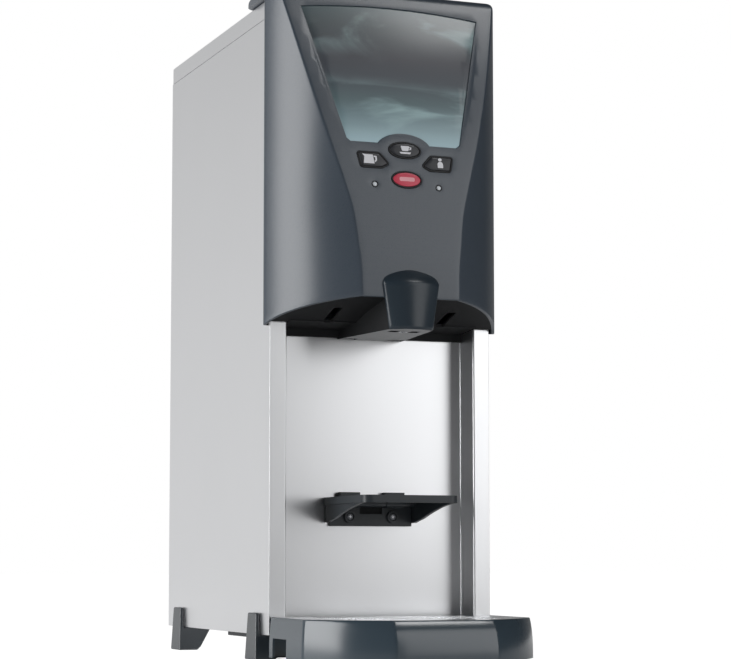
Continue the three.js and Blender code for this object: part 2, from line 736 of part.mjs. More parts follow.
function rimFrame() {
  const back = -FRAME_SETBACK - FRAME_THICK;
  const outlines = Object.values(BUTTONS).map(({ outline }) => outline);
  const plate = prismZ(rectangle([-FRAME_HALF, FRAME_HALF], [FRAME_LOW, FRAME_HIGH]), [back, -FRAME_SETBACK]);
  const webs = outlines.map((outline) => prismZ(offset(outline, 2 * RIM_WIDTH), [back, -FRAME_SETBACK]));
  const rims = outlines.map((outline) => prismZ(offset(outline, RIM_WIDTH), [back, RIM_PROUD]));
  const through = [back - OVERRUN, RIM_PROUD + OVERRUN];
  const holes = outlines.map((outline) => prismZ(offset(outline, GAP), through));
  const posts = [-POST_X, POST_X].flatMap((x) => [FRAME_LOW + POST_RADIUS, FRAME_HIGH - POST_RADIUS].map(
    (y) => rod([x, y, -FRAME_SETBACK - FRAME_THICK / 2], [x, y, -BOARD_SETBACK + GAP], POST_RADIUS, 12)));
  return cut(join(plate, ...webs, ...rims, ...posts), ...holes);
}

function lens(x) {
  const back = -FRAME_SETBACK - LENS_FLANGE_THICK;
  return join(
    rod([x, -LENS_DROP, back], [x, -LENS_DROP, -FRAME_SETBACK], LENS_RADIUS + LENS_FLANGE, 16),
    rod([x, -LENS_DROP, -FRAME_SETBACK], [x, -LENS_DROP, 0], LENS_RADIUS, 16),
    rod([x, -LENS_DROP, 0], [x, -LENS_DROP, LENS_PROUD], LENS_RADIUS, 16, LENS_RADIUS * DOME_SHARE),
  );
}

function keypadMat() {
  const top = -BOARD_SETBACK + GAP + MAT_THICK;
  const margin = POST_X - POST_RADIUS - GAP;
  const sheet = block([-margin, margin], [BOARD_LOW + POST_RADIUS, BOARD_HIGH - GAP], [top - MAT_THICK, top]);
  const domes = Object.values(BUTTONS).map(({ outline }) => {
    const { x, y } = middleOf(outline);
    return rod([x, y, top - GAP], [x, y, top + DOME_HEIGHT], DOME_RADIUS, 14, DOME_RADIUS * DOME_SHARE);
  });
  return join(sheet, ...domes);
}

function middleOf(outline) {
  const corners = outline.map(([x, y]) => new THREE.Vector2(x, y));
  return new THREE.Box2().setFromPoints(corners).getCenter(new THREE.Vector2());
}

function controlBoard() {
  const front = -BOARD_SETBACK;
  const back = front - BOARD_THICK;
  const board = block([-BOARD_HALF, BOARD_HALF], [BOARD_LOW, BOARD_HIGH], [back, front]);
  const chips = [-1, 0, 1].map((way) => {
    const x = way * 3 * CHIP_HALF;
    return block([x - CHIP_HALF, x + CHIP_HALF], [BOARD_LOW / 2, 0], [back - CHIP_HEIGHT, back]);
  });
  return join(board, ...chips);
}

// Cutters for the keypad are made in its own axes and laid on the facet.
function onKeypad(shape) {
  return shape.transform(KEYPAD.matrix.toArray());
}

function hoodShell() {
  const low = LIP_BOTTOM - OVERRUN;
  const outside = hoodLoft(0, HOOD_WRAP, low, HOOD_TOP, HOOD_TOP_ROUND);
  const inside = hoodLoft(
    HOOD_WALL, OVERRUN, low - OVERRUN, HOOD_TOP - HOOD_WALL, HOOD_TOP_ROUND - HOOD_WALL);
  const seats = [-1, 1].map((way) => block(
    between(way * (HOOD_HALF - HOOD_WALL / 2), way * (BODY_HALF - HOOD_SEAT_LIP)),
    [-GAP - HOOD_WALL, -GAP], [low, BODY_TOP]));
  const shell = join(outside.subtract(inside), cowl(), ...seats.map((seat) => seat.intersect(outside)));
  const span = [-2 * OVERRUN - FACET_REACH_BOTTOM, BODY_DEPTH];
  const depth = [-FRAME_SETBACK - OVERRUN, RIM_PROUD + OVERRUN];
  const holes = Object.values(BUTTONS).map(
    ({ outline }) => onKeypad(prismZ(offset(outline, RIM_WIDTH + GAP), depth)));
  const lights = Object.values(LENSES).map((x) => onKeypad(
    rod([x, -LENS_DROP, depth[0]], [x, -LENS_DROP, depth[1]], LENS_RADIUS + GAP, 16)));
  const pane = prismY(windowOutline(0), [span[0], -GAP]).intersect(
    facetSheet(-OVERRUN, HOOD_WALL + GAP / 2, HOOD_HALF, WINDOW_SPAN));
  return cut(shell, belowArch(0), pane, ...holes, ...lights);
}

// Everything lower than the hood's bottom edge, raised by a lift.
function belowArch(lift) {
  const curve = Array.from({ length: ARCH_STEPS + 1 }, (_, i) => {
    const reach = (i * (FACET_REACH_BOTTOM + OVERRUN)) / ARCH_STEPS;
    return [-reach, archHeight(reach) + lift];
  });
  const front = -FACET_REACH_BOTTOM - OVERRUN;
  const back = OVERRUN + LIP_SETBACK;
  const low = LIP_BOTTOM - 2 * OVERRUN;
  const outline = [[back, low], [back, archHeight(0) + lift], ...curve, [front, low]];
  return prismX(outline, [-BODY_WIDTH, BODY_WIDTH]);
}

function hoodUnderside() {
  const seatFront = -GAP - HOOD_WALL - GAP;
  const low = LIP_BOTTOM - OVERRUN;
  const inFront = block([-HOOD_HALF, HOOD_HALF], [-FACET_REACH_BOTTOM, seatFront], [low, HOOD_TOP]);
  const fit = hoodLoft(HOOD_WALL + GAP, OVERRUN, low, HOOD_TOP - 2 * HOOD_WALL, HOOD_WALL).intersect(inFront);
  const plate = fit.intersect(belowArch(UNDERSIDE_RECESS + UNDERSIDE_WALL))
    .subtract(belowArch(UNDERSIDE_RECESS));
  const half = RECESS_HALF - GAP;
  const floor = HOOD_BOTTOM + UNDERSIDE_RECESS;
  const strip = block([-half, half], [seatFront - OVERRUN, LIP_SETBACK], [floor, floor + UNDERSIDE_WALL]);
  const lip = block(
    [-half, half], [LIP_SETBACK - LIP_THICK, LIP_SETBACK], [LIP_BOTTOM, floor + UNDERSIDE_WALL]);
  const arm = cut(prismZ(armOutline(0), [SPOUT_BOTTOM, HOOD_ARCH]), aboveArch());
  const hollow = prismZ(armOutline(UNDERSIDE_WALL), [SPOUT_BOTTOM + UNDERSIDE_WALL, HOOD_TOP]);
  const bore = rod([0, -NOZZLE_REACH, low], [0, -NOZZLE_REACH, HOOD_ARCH], NOZZLE_RADIUS + GAP, 24);
  const wall = hoodLoft(-GAP, OVERRUN, low, HOOD_TOP, HOOD_TOP_ROUND)
    .subtract(hoodLoft(HOOD_WALL + GAP, 2 * OVERRUN, low - OVERRUN, HOOD_TOP + OVERRUN, HOOD_WALL))
    .subtract(belowArch(-GAP));
  return cut(join(plate, strip, lip, arm), hollow, bore, wall, ...undersideSlots(), ...armNotches());
}

function aboveArch() {
  const lift = UNDERSIDE_RECESS + UNDERSIDE_WALL / 2;
  return block([-HOOD_HALF, HOOD_HALF], [-FACET_REACH_BOTTOM, LIP_SETBACK], [LIP_BOTTOM, HOOD_TOP])
    .subtract(belowArch(lift));
}

const ARM_FRONT = FACET_REACH_BOTTOM;
const TONGUE_HALF = NOSE_HALF_BOTTOM - NOSE_WALL - GAP;
const TONGUE_REACH = NOSE_REACH - NOSE_WALL - GAP;

// Plan of the spout arm: a taper from the column to the nose, then a tongue that fits inside the nose.
function armOutline(inset) {
  const rear = LIP_SETBACK - inset;
  const half = [
    [ARM_HALF_REAR - inset, rear],
    [ARM_HALF_FRONT - inset, -ARM_FRONT + inset],
    [TONGUE_HALF - inset, -ARM_FRONT + inset],
    ...TONGUE_SHARES.map((across) => [
      (TONGUE_HALF - inset) * across, -TONGUE_REACH + inset + NOSE_BULGE * across ** 2]),
  ];
  return mirrored(half);
}

function undersideSlots() {
  return [-1, 1].map((way) => {
    const x = way * SLOT_X;
    const outline = rectangle(
      [x - SLOT_WIDTH / 2, x + SLOT_WIDTH / 2], [-SLOT_REACH - SLOT_LENGTH, -SLOT_REACH]);
    return prismZ(rounded(outline, SLOT_WIDTH / 3), [LIP_BOTTOM, HOOD_TOP]);
  });
}

// Two open slots at the back of the arm's floor and two in front, beside the nozzle.
function armNotches() {
  const span = [SPOUT_BOTTOM - OVERRUN, SPOUT_BOTTOM + UNDERSIDE_WALL + GAP];
  const notch = (x, width, [y0, y1]) => block([x - width / 2, x + width / 2], [y0, y1], span);
  const rear = [LIP_SETBACK - NOTCH_DEPTH, LIP_SETBACK + OVERRUN];
  const front = [-NOTCH_REACH, -NOTCH_REACH + NOTCH_DEPTH];
  return [-1, 1].flatMap((way) => [
    notch(way * NOTCH_REAR_X, NOTCH_REAR_WIDTH, rear),
    notch(way * NOTCH_FRONT_X, NOTCH_FRONT_WIDTH, front),
  ]);
}

// One level of the nose: a plan from inside the hood to a bulging front, narrower near the top.
function noseRing(z, inset, share, trim) {
  const rise = Math.min((z - SPOUT_BOTTOM) / (NOSE_SHOULDER - SPOUT_BOTTOM), 1);
  const half = (NOSE_HALF_BOTTOM + (NOSE_HALF_TOP - NOSE_HALF_BOTTOM) * rise - inset) * share;
  const front = NOSE_REACH - inset - trim;
  const bulge = [];
  for (let i = 0; i <= FLANK_STEPS / 2; i++) {
    const across = 1 - (2 * i) / (FLANK_STEPS + 1);
    bulge.push([half * across, -front + NOSE_BULGE * share * across ** 2]);
  }
  return { z, points: mirrored([[half, -ARM_FRONT / 2], ...bulge]) };
}

function noseLoft(inset, bottom) {
  const round = NOSE_TOP - NOSE_SHOULDER - inset;
  const rows = [0, 1 / 2, 1].map((share) => noseRing(bottom + (NOSE_SHOULDER - bottom) * share, inset, 1, 0));
  for (let i = 1; i <= NOSE_ROWS; i++) {
    const turn = (Math.PI * i) / (2 * NOSE_ROWS + 1);
    const trim = (NOSE_REACH - ARM_FRONT) * Math.sin(turn) ** NOSE_EASE;
    rows.push(noseRing(NOSE_SHOULDER + round * Math.sin(turn), inset, Math.cos(turn), trim));
  }
  return loft(rows);
}

function spoutNose() {
  const hood = hoodLoft(-GAP, HOOD_WRAP, LIP_BOTTOM - OVERRUN, HOOD_TOP, HOOD_TOP_ROUND);
  return cut(noseLoft(0, SPOUT_BOTTOM), noseLoft(NOSE_WALL, SPOUT_BOTTOM - OVERRUN), hood);
}

function outletNozzle() {
  const at = (z) => [0, -NOZZLE_REACH, z];
  const seat = SPOUT_BOTTOM + UNDERSIDE_WALL + GAP;
  return cut(
    join(
      rod(at(NOZZLE_BOTTOM), at(NOZZLE_TOP), NOZZLE_RADIUS, 24),
      rod(at(seat), at(seat + NOZZLE_COLLAR), NOZZLE_RADIUS + NOZZLE_COLLAR, 24),
    ),
    rod(at(NOZZLE_BOTTOM - OVERRUN), at(NOZZLE_TOP + OVERRUN), NOZZLE_BORE, 20),
  );
}

// A side panel: one bent sheet with a front flange, its return into the recess, and rear and top flanges.
function sidePanel(way) {
  const inner = BODY_HALF - SHEET;
  const top = BODY_TOP - LID_SKIRT;
  const behind = BODY_DEPTH - SHEET - GAP;
  const back = RECESS_DEPTH + RETURN_LAP;
  const plan = [
    [RECESS_HALF, back], [RECESS_HALF, 0], [BODY_HALF, 0], [BODY_HALF, BODY_DEPTH], [inner, BODY_DEPTH],
    [inner, behind], [BODY_HALF - REAR_FLANGE, behind], [BODY_HALF - REAR_FLANGE, behind - SHEET],
    [inner, behind - SHEET], [inner, SHEET], [RECESS_HALF + SHEET, SHEET], [RECESS_HALF + SHEET, back],
  ];
  const sheet = prismZ(plan.map(([x, y]) => [way * x, y]), [BODY_BOTTOM, top]);
  const flange = block(between(way * (BODY_HALF - TOP_FLANGE), way * (BODY_HALF - SHEET / 2)),
    [back, BODY_DEPTH - 2 * REAR_FLANGE], [top - SHEET, top]);
  return join(sheet, flange);
}

function frontPanel() {
  const half = RECESS_HALF - GAP;
  const low = BODY_BOTTOM + SHEET + GAP;
  const top = BODY_TOP - LID_SKIRT;
  const outline = [
    [-half, RECESS_DEPTH], [half, RECESS_DEPTH], [half, RECESS_DEPTH + PANEL_HEM],
    [half - SHEET, RECESS_DEPTH + PANEL_HEM], [half - SHEET, RECESS_DEPTH + SHEET],
    [-half + SHEET, RECESS_DEPTH + SHEET], [-half + SHEET, RECESS_DEPTH + PANEL_HEM],
    [-half, RECESS_DEPTH + PANEL_HEM],
  ];
  const hole = rod([0, 0, OUTLET_HEIGHT], [0, TANK_FRONT, OUTLET_HEIGHT], PIPE_RADIUS + GAP, 20);
  const screws = [-SCREW_X, SCREW_X].map((x) => rod(
    [x, 0, SCREW_HEIGHT], [x, TANK_FRONT, SCREW_HEIGHT], SCREW_SHANK + GAP, 12));
  return cut(prismZ(outline, [low, top]), hole, ...screws);
}

function rearPanel() {
  const half = BODY_HALF - SHEET - GAP;
  const top = BODY_TOP - LID_SKIRT;
  const y = [BODY_DEPTH - SHEET, BODY_DEPTH];
  const through = [BODY_DEPTH - OVERRUN, BODY_DEPTH + OVERRUN];
  const vents = Array.from({ length: VENT_COUNT }, (_, i) => {
    const low = VENT_BOTTOM + i * VENT_PITCH;
    return block([-VENT_WIDTH, VENT_WIDTH], through, [low, low + VENT_HEIGHT]);
  });
  const bore = (x, z, radius) => rod([x, through[0], z], [x, through[1], z], radius, 20);
  const acrossSwitch = SWITCH_HALF_WIDTH + SWITCH_BEZEL / 2;
  const upSwitch = SWITCH_HALF_HEIGHT + SWITCH_BEZEL / 2;
  const socket = block([SWITCH_X - acrossSwitch, SWITCH_X + acrossSwitch], through,
    [SWITCH_HEIGHT - upSwitch, SWITCH_HEIGHT + upSwitch]);
  return cut(block([-half, half], y, [BODY_BOTTOM, top - GAP]), ...vents, socket,
    bore(INLET_X, INLET_HEIGHT, INLET_RADIUS + GAP), bore(GLAND_X, GLAND_HEIGHT, GLAND_RADIUS + GAP));
}

// The pan of the column: notched round the recess returns, with turned-up lips that the panels screw to.
function basePlate() {
  const half = BODY_HALF - SHEET - GAP;
  const tongue = RECESS_HALF - GAP;
  const corner = RECESS_HALF + SHEET + GAP;
  const notch = RECESS_DEPTH + RETURN_LAP + GAP;
  const front = SHEET + GAP;
  const far = BODY_DEPTH - 2 * (SHEET + GAP) - SHEET;
  const lip = [BODY_BOTTOM, BODY_BOTTOM + BASE_LIP];
  const pan = prismZ(mirrored([
    [tongue, front], [tongue, notch], [corner, notch], [corner, front], [half, front], [half, far],
  ]), [BODY_BOTTOM, BODY_BOTTOM + SHEET]);
  const sides = [-1, 1].map((way) => block(between(way * half, way * (half - SHEET)), [notch, far], lip));
  const behindPanel = RECESS_DEPTH + PANEL_HEM + GAP;
  return cut(
    join(
      pan, ...sides,
      block([-half, half], [far - SHEET, far], lip),
      block([-tongue + RETURN_LAP, tongue - RETURN_LAP], [behindPanel, behindPanel + SHEET], lip),
    ),
    rod([DRAIN_X, DRAIN_SETBACK, 0], [DRAIN_X, DRAIN_SETBACK, TANK_BOTTOM], DRAIN_RADIUS + GAP, 20));
}

function topLid() {
  const low = BODY_TOP - LID_SKIRT + GAP;
  const ring = (z, inset) => {
    const outline = rectangle([-BODY_HALF + inset, BODY_HALF - inset], [inset, BODY_DEPTH - inset]);
    return { z, points: rounded(outline, LID_BEND, 2) };
  };
  const outside = loft([ring(low, 0), ring(BODY_TOP - SHEET, 0), ring(BODY_TOP, SHEET)]);
  return outside.subtract(loft([ring(low - OVERRUN, SHEET), ring(BODY_TOP - SHEET, SHEET)]));
}

// A foot: a fin up the side of the column and a wedge under the base, longer at the floor than at the top.
function foot(way, near) {
  const side = BODY_HALF;
  const far = near + FOOT_LENGTH;
  const outline = [
    [side + FOOT_FIN, 0],
    [side + FOOT_FIN_TOP, FOOT_HEIGHT],
    [side + GAP, FOOT_HEIGHT],
    [side + GAP, BODY_BOTTOM - GAP],
    [side - FOOT_INSET_TOP, BODY_BOTTOM - GAP],
    [side - FOOT_INSET_BOTTOM, FOOT_HEEL],
    [side - FOOT_INSET_BOTTOM + FOOT_HEEL, 0],
  ];
  const span = [near - FOOT_SPREAD, far + FOOT_SPREAD];
  const flare = prismX(
    [[span[0], 0], [span[1], 0], [far, FOOT_HEIGHT], [near, FOOT_HEIGHT]],
    between(way * (side + 2 * FOOT_FIN), way * (side - 2 * FOOT_INSET_TOP)));
  return prismY(outline.map(([x, z]) => [way * x, z]), span).intersect(flare);
}

function trayRail(way) {
  const x = (near, far) => between(way * near, way * far);
  const web = RUNNER_INNER + RUNNER_WIDTH + GAP;
  const lipTop = RUNNER_BOTTOM - GAP;
  const top = BODY_BOTTOM - GAP;
  return join(
    block(x(web, web + RAIL_WALL), [RAIL_FRONT, RAIL_REAR], [lipTop - RAIL_WALL, top]),
    block(x(RUNNER_INNER, web + RAIL_WALL), [RAIL_FRONT, RAIL_REAR], [lipTop - RAIL_WALL, lipTop]),
    block(x(web, BODY_HALF - RAIL_WING_INSET), [RAIL_WING_FRONT, RAIL_REAR], [top - RAIL_WING_THICK, top]),
  );
}

// Plan of the tray: straight sides, round flanks and a flat front.
function trayOutline(grow, slope) {
  const corner = TRAY_CORNER + grow;
  const facet = TRAY_FACET_HALF + grow / 2;
  const front = TRAY_REACH + slope + grow;
  const side = TRAY_HALF + grow;
  const bend = new THREE.QuadraticBezierCurve(
    new THREE.Vector2(side, -corner),
    new THREE.Vector2((side + facet) / 2 + TRAY_BULGE, -(corner + front) / 2 - TRAY_BULGE),
    new THREE.Vector2(facet, -front));
  const flank = bend.getPoints(TRAY_STEPS).map((p) => [p.x, p.y]);
  return mirrored([[side, -TRAY_REAR + Math.min(grow, 0)], ...flank]);
}

// The tray swells most just under its top edge.
function trayLoft(inset, bottom, top) {
  const tall = TRAY_TOP - TRAY_BOTTOM;
  const ring = (z) => {
    const swell = 1 - Math.min((z - TRAY_BOTTOM) / tall, 1) ** TRAY_SWELL_POWER;
    return { z, points: trayOutline(TRAY_FLARE * swell - inset, TRAY_SLOPE * swell) };
  };
  const levels = TRAY_SHARES.map((share) => TRAY_TOP - share * tall).filter((z) => z > bottom && z < top);
  return loft([ring(bottom), ...levels.map(ring), ring(top)]);
}

function dripTray() {
  const floor = TRAY_FLOOR + TRAY_WALL;
  const seat = TRAY_TOP - GRID_THICK;
  const windows = block(
    [-BODY_WIDTH, BODY_WIDTH], [-TRAY_WINDOW_FRONT, -TRAY_WINDOW_REAR], [0, TRAY_WINDOW_TOP]);
  const runners = [-1, 1].map((way) => block(
    between(way * RUNNER_INNER, way * (RUNNER_INNER + RUNNER_WIDTH)),
    [-TRAY_REAR - TRAY_WALL, RUNNER_LENGTH], [RUNNER_BOTTOM, RUNNER_BOTTOM + RUNNER_THICK]));
  const tub = cut(
    trayLoft(0, TRAY_BOTTOM, TRAY_TOP),
    trayLoft(TRAY_WALL + TRAY_LEDGE, floor, TRAY_TOP + OVERRUN),
    trayLoft(TRAY_WALL, seat - GAP, TRAY_TOP + OVERRUN),
    trayLoft(TRAY_WALL, TRAY_BOTTOM - OVERRUN, TRAY_FLOOR),
    windows,
  );
  return join(tub, ...runners);
}

function dripGrid() {
  const seat = TRAY_TOP - GRID_THICK;
  const plate = trayLoft(TRAY_WALL + GAP, seat, TRAY_TOP);
  const slots = [];
  for (let i = 0; i < GRID_SLOTS; i++) {
    const y = -GRID_FIRST_SLOT - i * GRID_SLOT_PITCH;
    for (const x of [-GRID_SLOT_X, GRID_SLOT_X]) {
      const outline = rectangle([x - GRID_SLOT_HALF, x + GRID_SLOT_HALF], [y - GRID_SLOT_WIDTH, y]);
      slots.push(prismZ(rounded(outline, GRID_SLOT_WIDTH / 2, 3), [seat - OVERRUN, TRAY_TOP + OVERRUN]));
    }
  }
  return cut(plate, ...slots);
}

// Plan of the shelf with round corners, drawn in the pin's axes.
function shelfOutline(inset, tail) {
  const half = SHELF_HALF - inset;
  const front = -(SHELF_FRONT + PIN_SETBACK) + inset;
  const rear = tail.at(-1)[1];
  return [
    ...tail,
    ...bend([half - SHELF_REAR_CORNER, rear], [half, rear], [half, rear - SHELF_REAR_CORNER]),
    ...bend([half, front + SHELF_CORNER], [half, front], [half - SHELF_CORNER, front]),
  ];
}

function bend(...points) {
  const curve = new THREE.QuadraticBezierCurve(...points.map(([x, y]) => new THREE.Vector2(x, y)));
  return curve.getPoints(FLANK_STEPS / 2).map((p) => [p.x, p.y]);
}

// The shelf hinges in its own axes, whose origin is the middle of the pin.
function cupShelf() {
  const top = SHELF_TOP - PIN_HEIGHT;
  const low = top - SHELF_RIM;
  const beside = MOUNT_HALF + 2 * GAP;
  const tray = prismZ(mirrored(shelfOutline(0, [[beside, 0], [beside, SHELF_TAIL]])), [low, top]);
  const under = prismZ(
    mirrored(shelfOutline(SHELF_RIM_WALL, [[beside, 2 * OVERRUN]])), [low - OVERRUN, top - SHELF_THICK]);
  const edge = GUSSET_POINTS.map(([reach, drop]) => [-reach - PIN_SETBACK, top - drop]);
  const gussets = [-1, 1].map((way) => prismX(
    [[SHELF_TAIL, top - SHELF_THICK / 2], [SHELF_TAIL, top - SHELF_GUSSET], [0, top - SHELF_GUSSET],
      ...edge, [edge.at(-1)[0], top - SHELF_THICK / 2]],
    between(way * beside, way * (beside + SHELF_GUSSET_THICK))));
  const knuckles = [
    [-PIN_HALF + GAP, -LUG_OUTER - GAP],
    [-LUG_INNER + GAP, LUG_INNER - GAP],
    [LUG_OUTER + GAP, PIN_HALF - GAP],
  ].map(([x0, x1]) => rod([x0, 0, 0], [x1, 0, 0], KNUCKLE_RADIUS, 20));
  const lugRoom = [-1, 1].map((way) => {
    const [x0, x1] = between(way * (LUG_INNER - GAP), way * (LUG_OUTER + GAP));
    return rod([x0, 0, 0], [x1, 0, 0], LUG_ROOM, 24);
  });
  const bore = rod([-PIN_HALF - GAP, 0, 0], [PIN_HALF + GAP, 0, 0], PIN_RADIUS + GAP, 16);
  return cut(join(tray.subtract(under), ...gussets, ...knuckles), ...lugRoom, bore);
}

// The shelf's mount is drawn in the pin's axes too: a plate on the panel with two lugs.
function shelfMount() {
  const panel = RECESS_DEPTH - PIN_SETBACK - GAP;
  const face = panel - MOUNT_THICK;
  const z = (height) => height - PIN_HEIGHT;
  const plate = block([-MOUNT_HALF, MOUNT_HALF], [face, panel], [z(MOUNT_BOTTOM), z(SHELF_TOP)]);
  const lugs = [-1, 1].map((way) => {
    const span = between(way * LUG_INNER, way * LUG_OUTER);
    return join(
      rod([span[0], 0, 0], [span[1], 0, 0], LUG_RADIUS, 24),
      block(span, [0, panel], [-LUG_RADIUS, z(LUG_TOP)]));
  });
  const bosses = [-SCREW_X, SCREW_X].map((x) => rod(
    [x, face - BOSS_HEIGHT, z(SCREW_HEIGHT)], [x, panel, z(SCREW_HEIGHT)], BOSS_RADIUS, 20));
  const bores = [-SCREW_X, SCREW_X].flatMap((x) => [
    rod([x, face - BOSS_HEIGHT - OVERRUN, z(SCREW_HEIGHT)], [x, face, z(SCREW_HEIGHT)], SCREW_HEAD + GAP, 18),
    rod([x, face - OVERRUN, z(SCREW_HEIGHT)], [x, panel + OVERRUN, z(SCREW_HEIGHT)], SCREW_SHANK + GAP, 12),
  ]);
  const pocket = block([-POCKET_HALF, POCKET_HALF], [face - OVERRUN, face + MOUNT_THICK / 2],
    [z(POCKET_LOW), z(POCKET_HIGH)]);
  return cut(join(plate, ...lugs, ...bosses), ...bores, pocket,
    rod([-PIN_HALF - GAP, 0, 0], [PIN_HALF + GAP, 0, 0], PIN_RADIUS + GAP, 16));
}

function shelfScrew(x) {
  const face = RECESS_DEPTH - PIN_SETBACK - GAP - MOUNT_THICK;
  const z = SCREW_HEIGHT - PIN_HEIGHT;
  const tip = RECESS_DEPTH - PIN_SETBACK + SHEET + SCREW_HEAD;
  const head = rod([x, face - GAP - SCREW_HEAD_THICK, z], [x, face - GAP, z], SCREW_HEAD, 18);
  return join(head, rod([x, face - 2 * GAP, z], [x, tip, z], SCREW_SHANK, 12));
}

function tankOutline(inset) {
  const half = TANK_WIDTH / 2 - inset;
  return rounded(rectangle([-half, half], [TANK_FRONT + inset, TANK_BACK - inset]), TANK_CORNER, 4);
}

function waterTank() {
  const above = TANK_BOTTOM + TANK_CORNER;
  return cut(
    prismZ(tankOutline(0), [TANK_BOTTOM, TANK_TOP]),
    prismZ(tankOutline(TANK_WALL), [TANK_BOTTOM + TANK_WALL, TANK_TOP + OVERRUN]),
    rod([0, 0, OUTLET_HEIGHT], [0, TANK_FRONT + TANK_CORNER, OUTLET_HEIGHT], PIPE_RADIUS + GAP, 20),
    rod([DRAIN_X, DRAIN_SETBACK, 0], [DRAIN_X, DRAIN_SETBACK, above], DRAIN_RADIUS + GAP, 20),
    rod([INLET_HOSE_X, inletHoseY(), 0], [INLET_HOSE_X, inletHoseY(), above], HOSE_RADIUS + GAP, 20),
  );
}

function inletHoseY() {
  return TANK_BACK - 2 * TANK_CORNER;
}

function tankInsulation() {
  const z = [TANK_BOTTOM + JACKET_MARGIN, TANK_TOP - TANK_LID_RIM - JACKET_MARGIN];
  return cut(
    prismZ(tankOutline(-JACKET - GAP), z),
    prismZ(tankOutline(-GAP), [z[0] - OVERRUN, z[1] + OVERRUN]),
    rod([0, 0, OUTLET_HEIGHT], [0, TANK_FRONT + TANK_CORNER, OUTLET_HEIGHT], PIPE_FLANGE + GAP, 24),
  );
}

const LID_FITTINGS = [
  [-ELEMENT_HALF, ELEMENT_SETBACK, ELEMENT_ROD], [ELEMENT_HALF, ELEMENT_SETBACK, ELEMENT_ROD],
  [-PROBE_X, PROBE_SETBACK, PROBE_RADIUS], [PROBE_X, PROBE_SETBACK, PROBE_RADIUS],
];

function tankLid() {
  const under = TANK_TOP + GAP;
  const holes = LID_FITTINGS.map(([x, y, radius]) => rod([x, y, 0], [x, y, HOOD_TOP], radius + GAP, 16));
  return cut(
    prismZ(tankOutline(-TANK_WALL - GAP), [TANK_TOP - TANK_LID_RIM, under + TANK_WALL]),
    prismZ(tankOutline(-GAP), [TANK_TOP - TANK_LID_RIM - OVERRUN, under]),
    ...holes,
  );
}

// Two straight legs joined by a bend at the bottom and a flange on the lid.
function heatingElement() {
  const seat = TANK_TOP + TANK_WALL + 2 * GAP;
  const low = ELEMENT_BOTTOM + ELEMENT_HALF;
  const overlap = low + ELEMENT_ROD;
  const bend = Array.from({ length: FLANK_STEPS + 1 }, (_, i) => {
    const turn = Math.PI + (Math.PI * i) / FLANK_STEPS;
    return [ELEMENT_HALF * Math.cos(turn), ELEMENT_SETBACK, low + ELEMENT_HALF * Math.sin(turn)];
  });
  bend.unshift([-ELEMENT_HALF, ELEMENT_SETBACK, overlap]);
  bend.push([ELEMENT_HALF, ELEMENT_SETBACK, overlap]);
  const leg = (x) => rod(
    [x, ELEMENT_SETBACK, low], [x, ELEMENT_SETBACK, seat + TERMINAL_HEIGHT], ELEMENT_ROD, 8);
  const head = block([-ELEMENT_HALF - ELEMENT_HEAD / 2, ELEMENT_HALF + ELEMENT_HEAD / 2],
    [ELEMENT_SETBACK - ELEMENT_HEAD / 2, ELEMENT_SETBACK + ELEMENT_HEAD / 2], [seat, seat + TANK_WALL]);
  const bow = hose(bend, ELEMENT_ROD * BOW_SHARE, 2 * FLANK_STEPS);
  return join(bow, leg(-ELEMENT_HALF), leg(ELEMENT_HALF), head);
}

function probe(x, length) {
  const seat = TANK_TOP + TANK_WALL + 2 * GAP;
  const at = (z) => [x, PROBE_SETBACK, z];
  return join(
    rod(at(TANK_TOP - length), at(seat + BUSH_HEIGHT + TERMINAL_HEIGHT / 2), PROBE_RADIUS, 12),
    rod(at(seat), at(seat + BUSH_HEIGHT), BUSH_RADIUS, 6),
  );
}

function safetyThermostat() {
  const seat = TANK_TOP + TANK_WALL + 2 * GAP;
  const at = (z) => [0, CUTOUT_SETBACK, z];
  return join(
    rod(at(seat), at(seat + CUTOUT_HEIGHT), CUTOUT_RADIUS, 20),
    rod(at(seat + CUTOUT_HEIGHT - GAP), at(seat + CUTOUT_HEIGHT + PROBE_RADIUS), CUTOUT_RADIUS / 3, 12),
  );
}

// A bridge of sheet that holds the tank off the base.
function tankStand() {
  const half = TANK_WIDTH / 2 - STAND_INSET;
  const low = BODY_BOTTOM + SHEET + GAP;
  const top = TANK_BOTTOM - GAP;
  const outline = [
    [-half - STAND_FOOT, low], [-half + STAND_WALL, low], [-half + STAND_WALL, top - STAND_WALL],
    [half - STAND_WALL, top - STAND_WALL], [half - STAND_WALL, low], [half + STAND_FOOT, low],
    [half + STAND_FOOT, low + STAND_WALL], [half, low + STAND_WALL], [half, top], [-half, top],
    [-half, low + STAND_WALL], [-half - STAND_FOOT, low + STAND_WALL],
  ];
  const clear = (x, y, radius) => rod([x, y, 0], [x, y, TANK_BOTTOM + OVERRUN], radius + 2 * GAP, 20);
  return cut(
    prismY(outline, [TANK_FRONT + STAND_INSET, TANK_BACK - STAND_INSET]),
    clear(DRAIN_X, DRAIN_SETBACK, DRAIN_RADIUS), clear(INLET_HOSE_X, inletHoseY(), HOSE_RADIUS));
}

function outletPipe() {
  const at = (y) => [0, y, OUTLET_HEIGHT];
  const inside = TANK_FRONT + TANK_WALL + GAP;
  return join(
    rod(at(-VALVE_FRONT / 2 + RECESS_DEPTH / 2 + GAP), at(inside + TANK_CORNER / 2), PIPE_RADIUS, 20),
    rod(at(TANK_FRONT - GAP - PIPE_FLANGE_THICK), at(TANK_FRONT - GAP), PIPE_FLANGE, 24),
  );
}

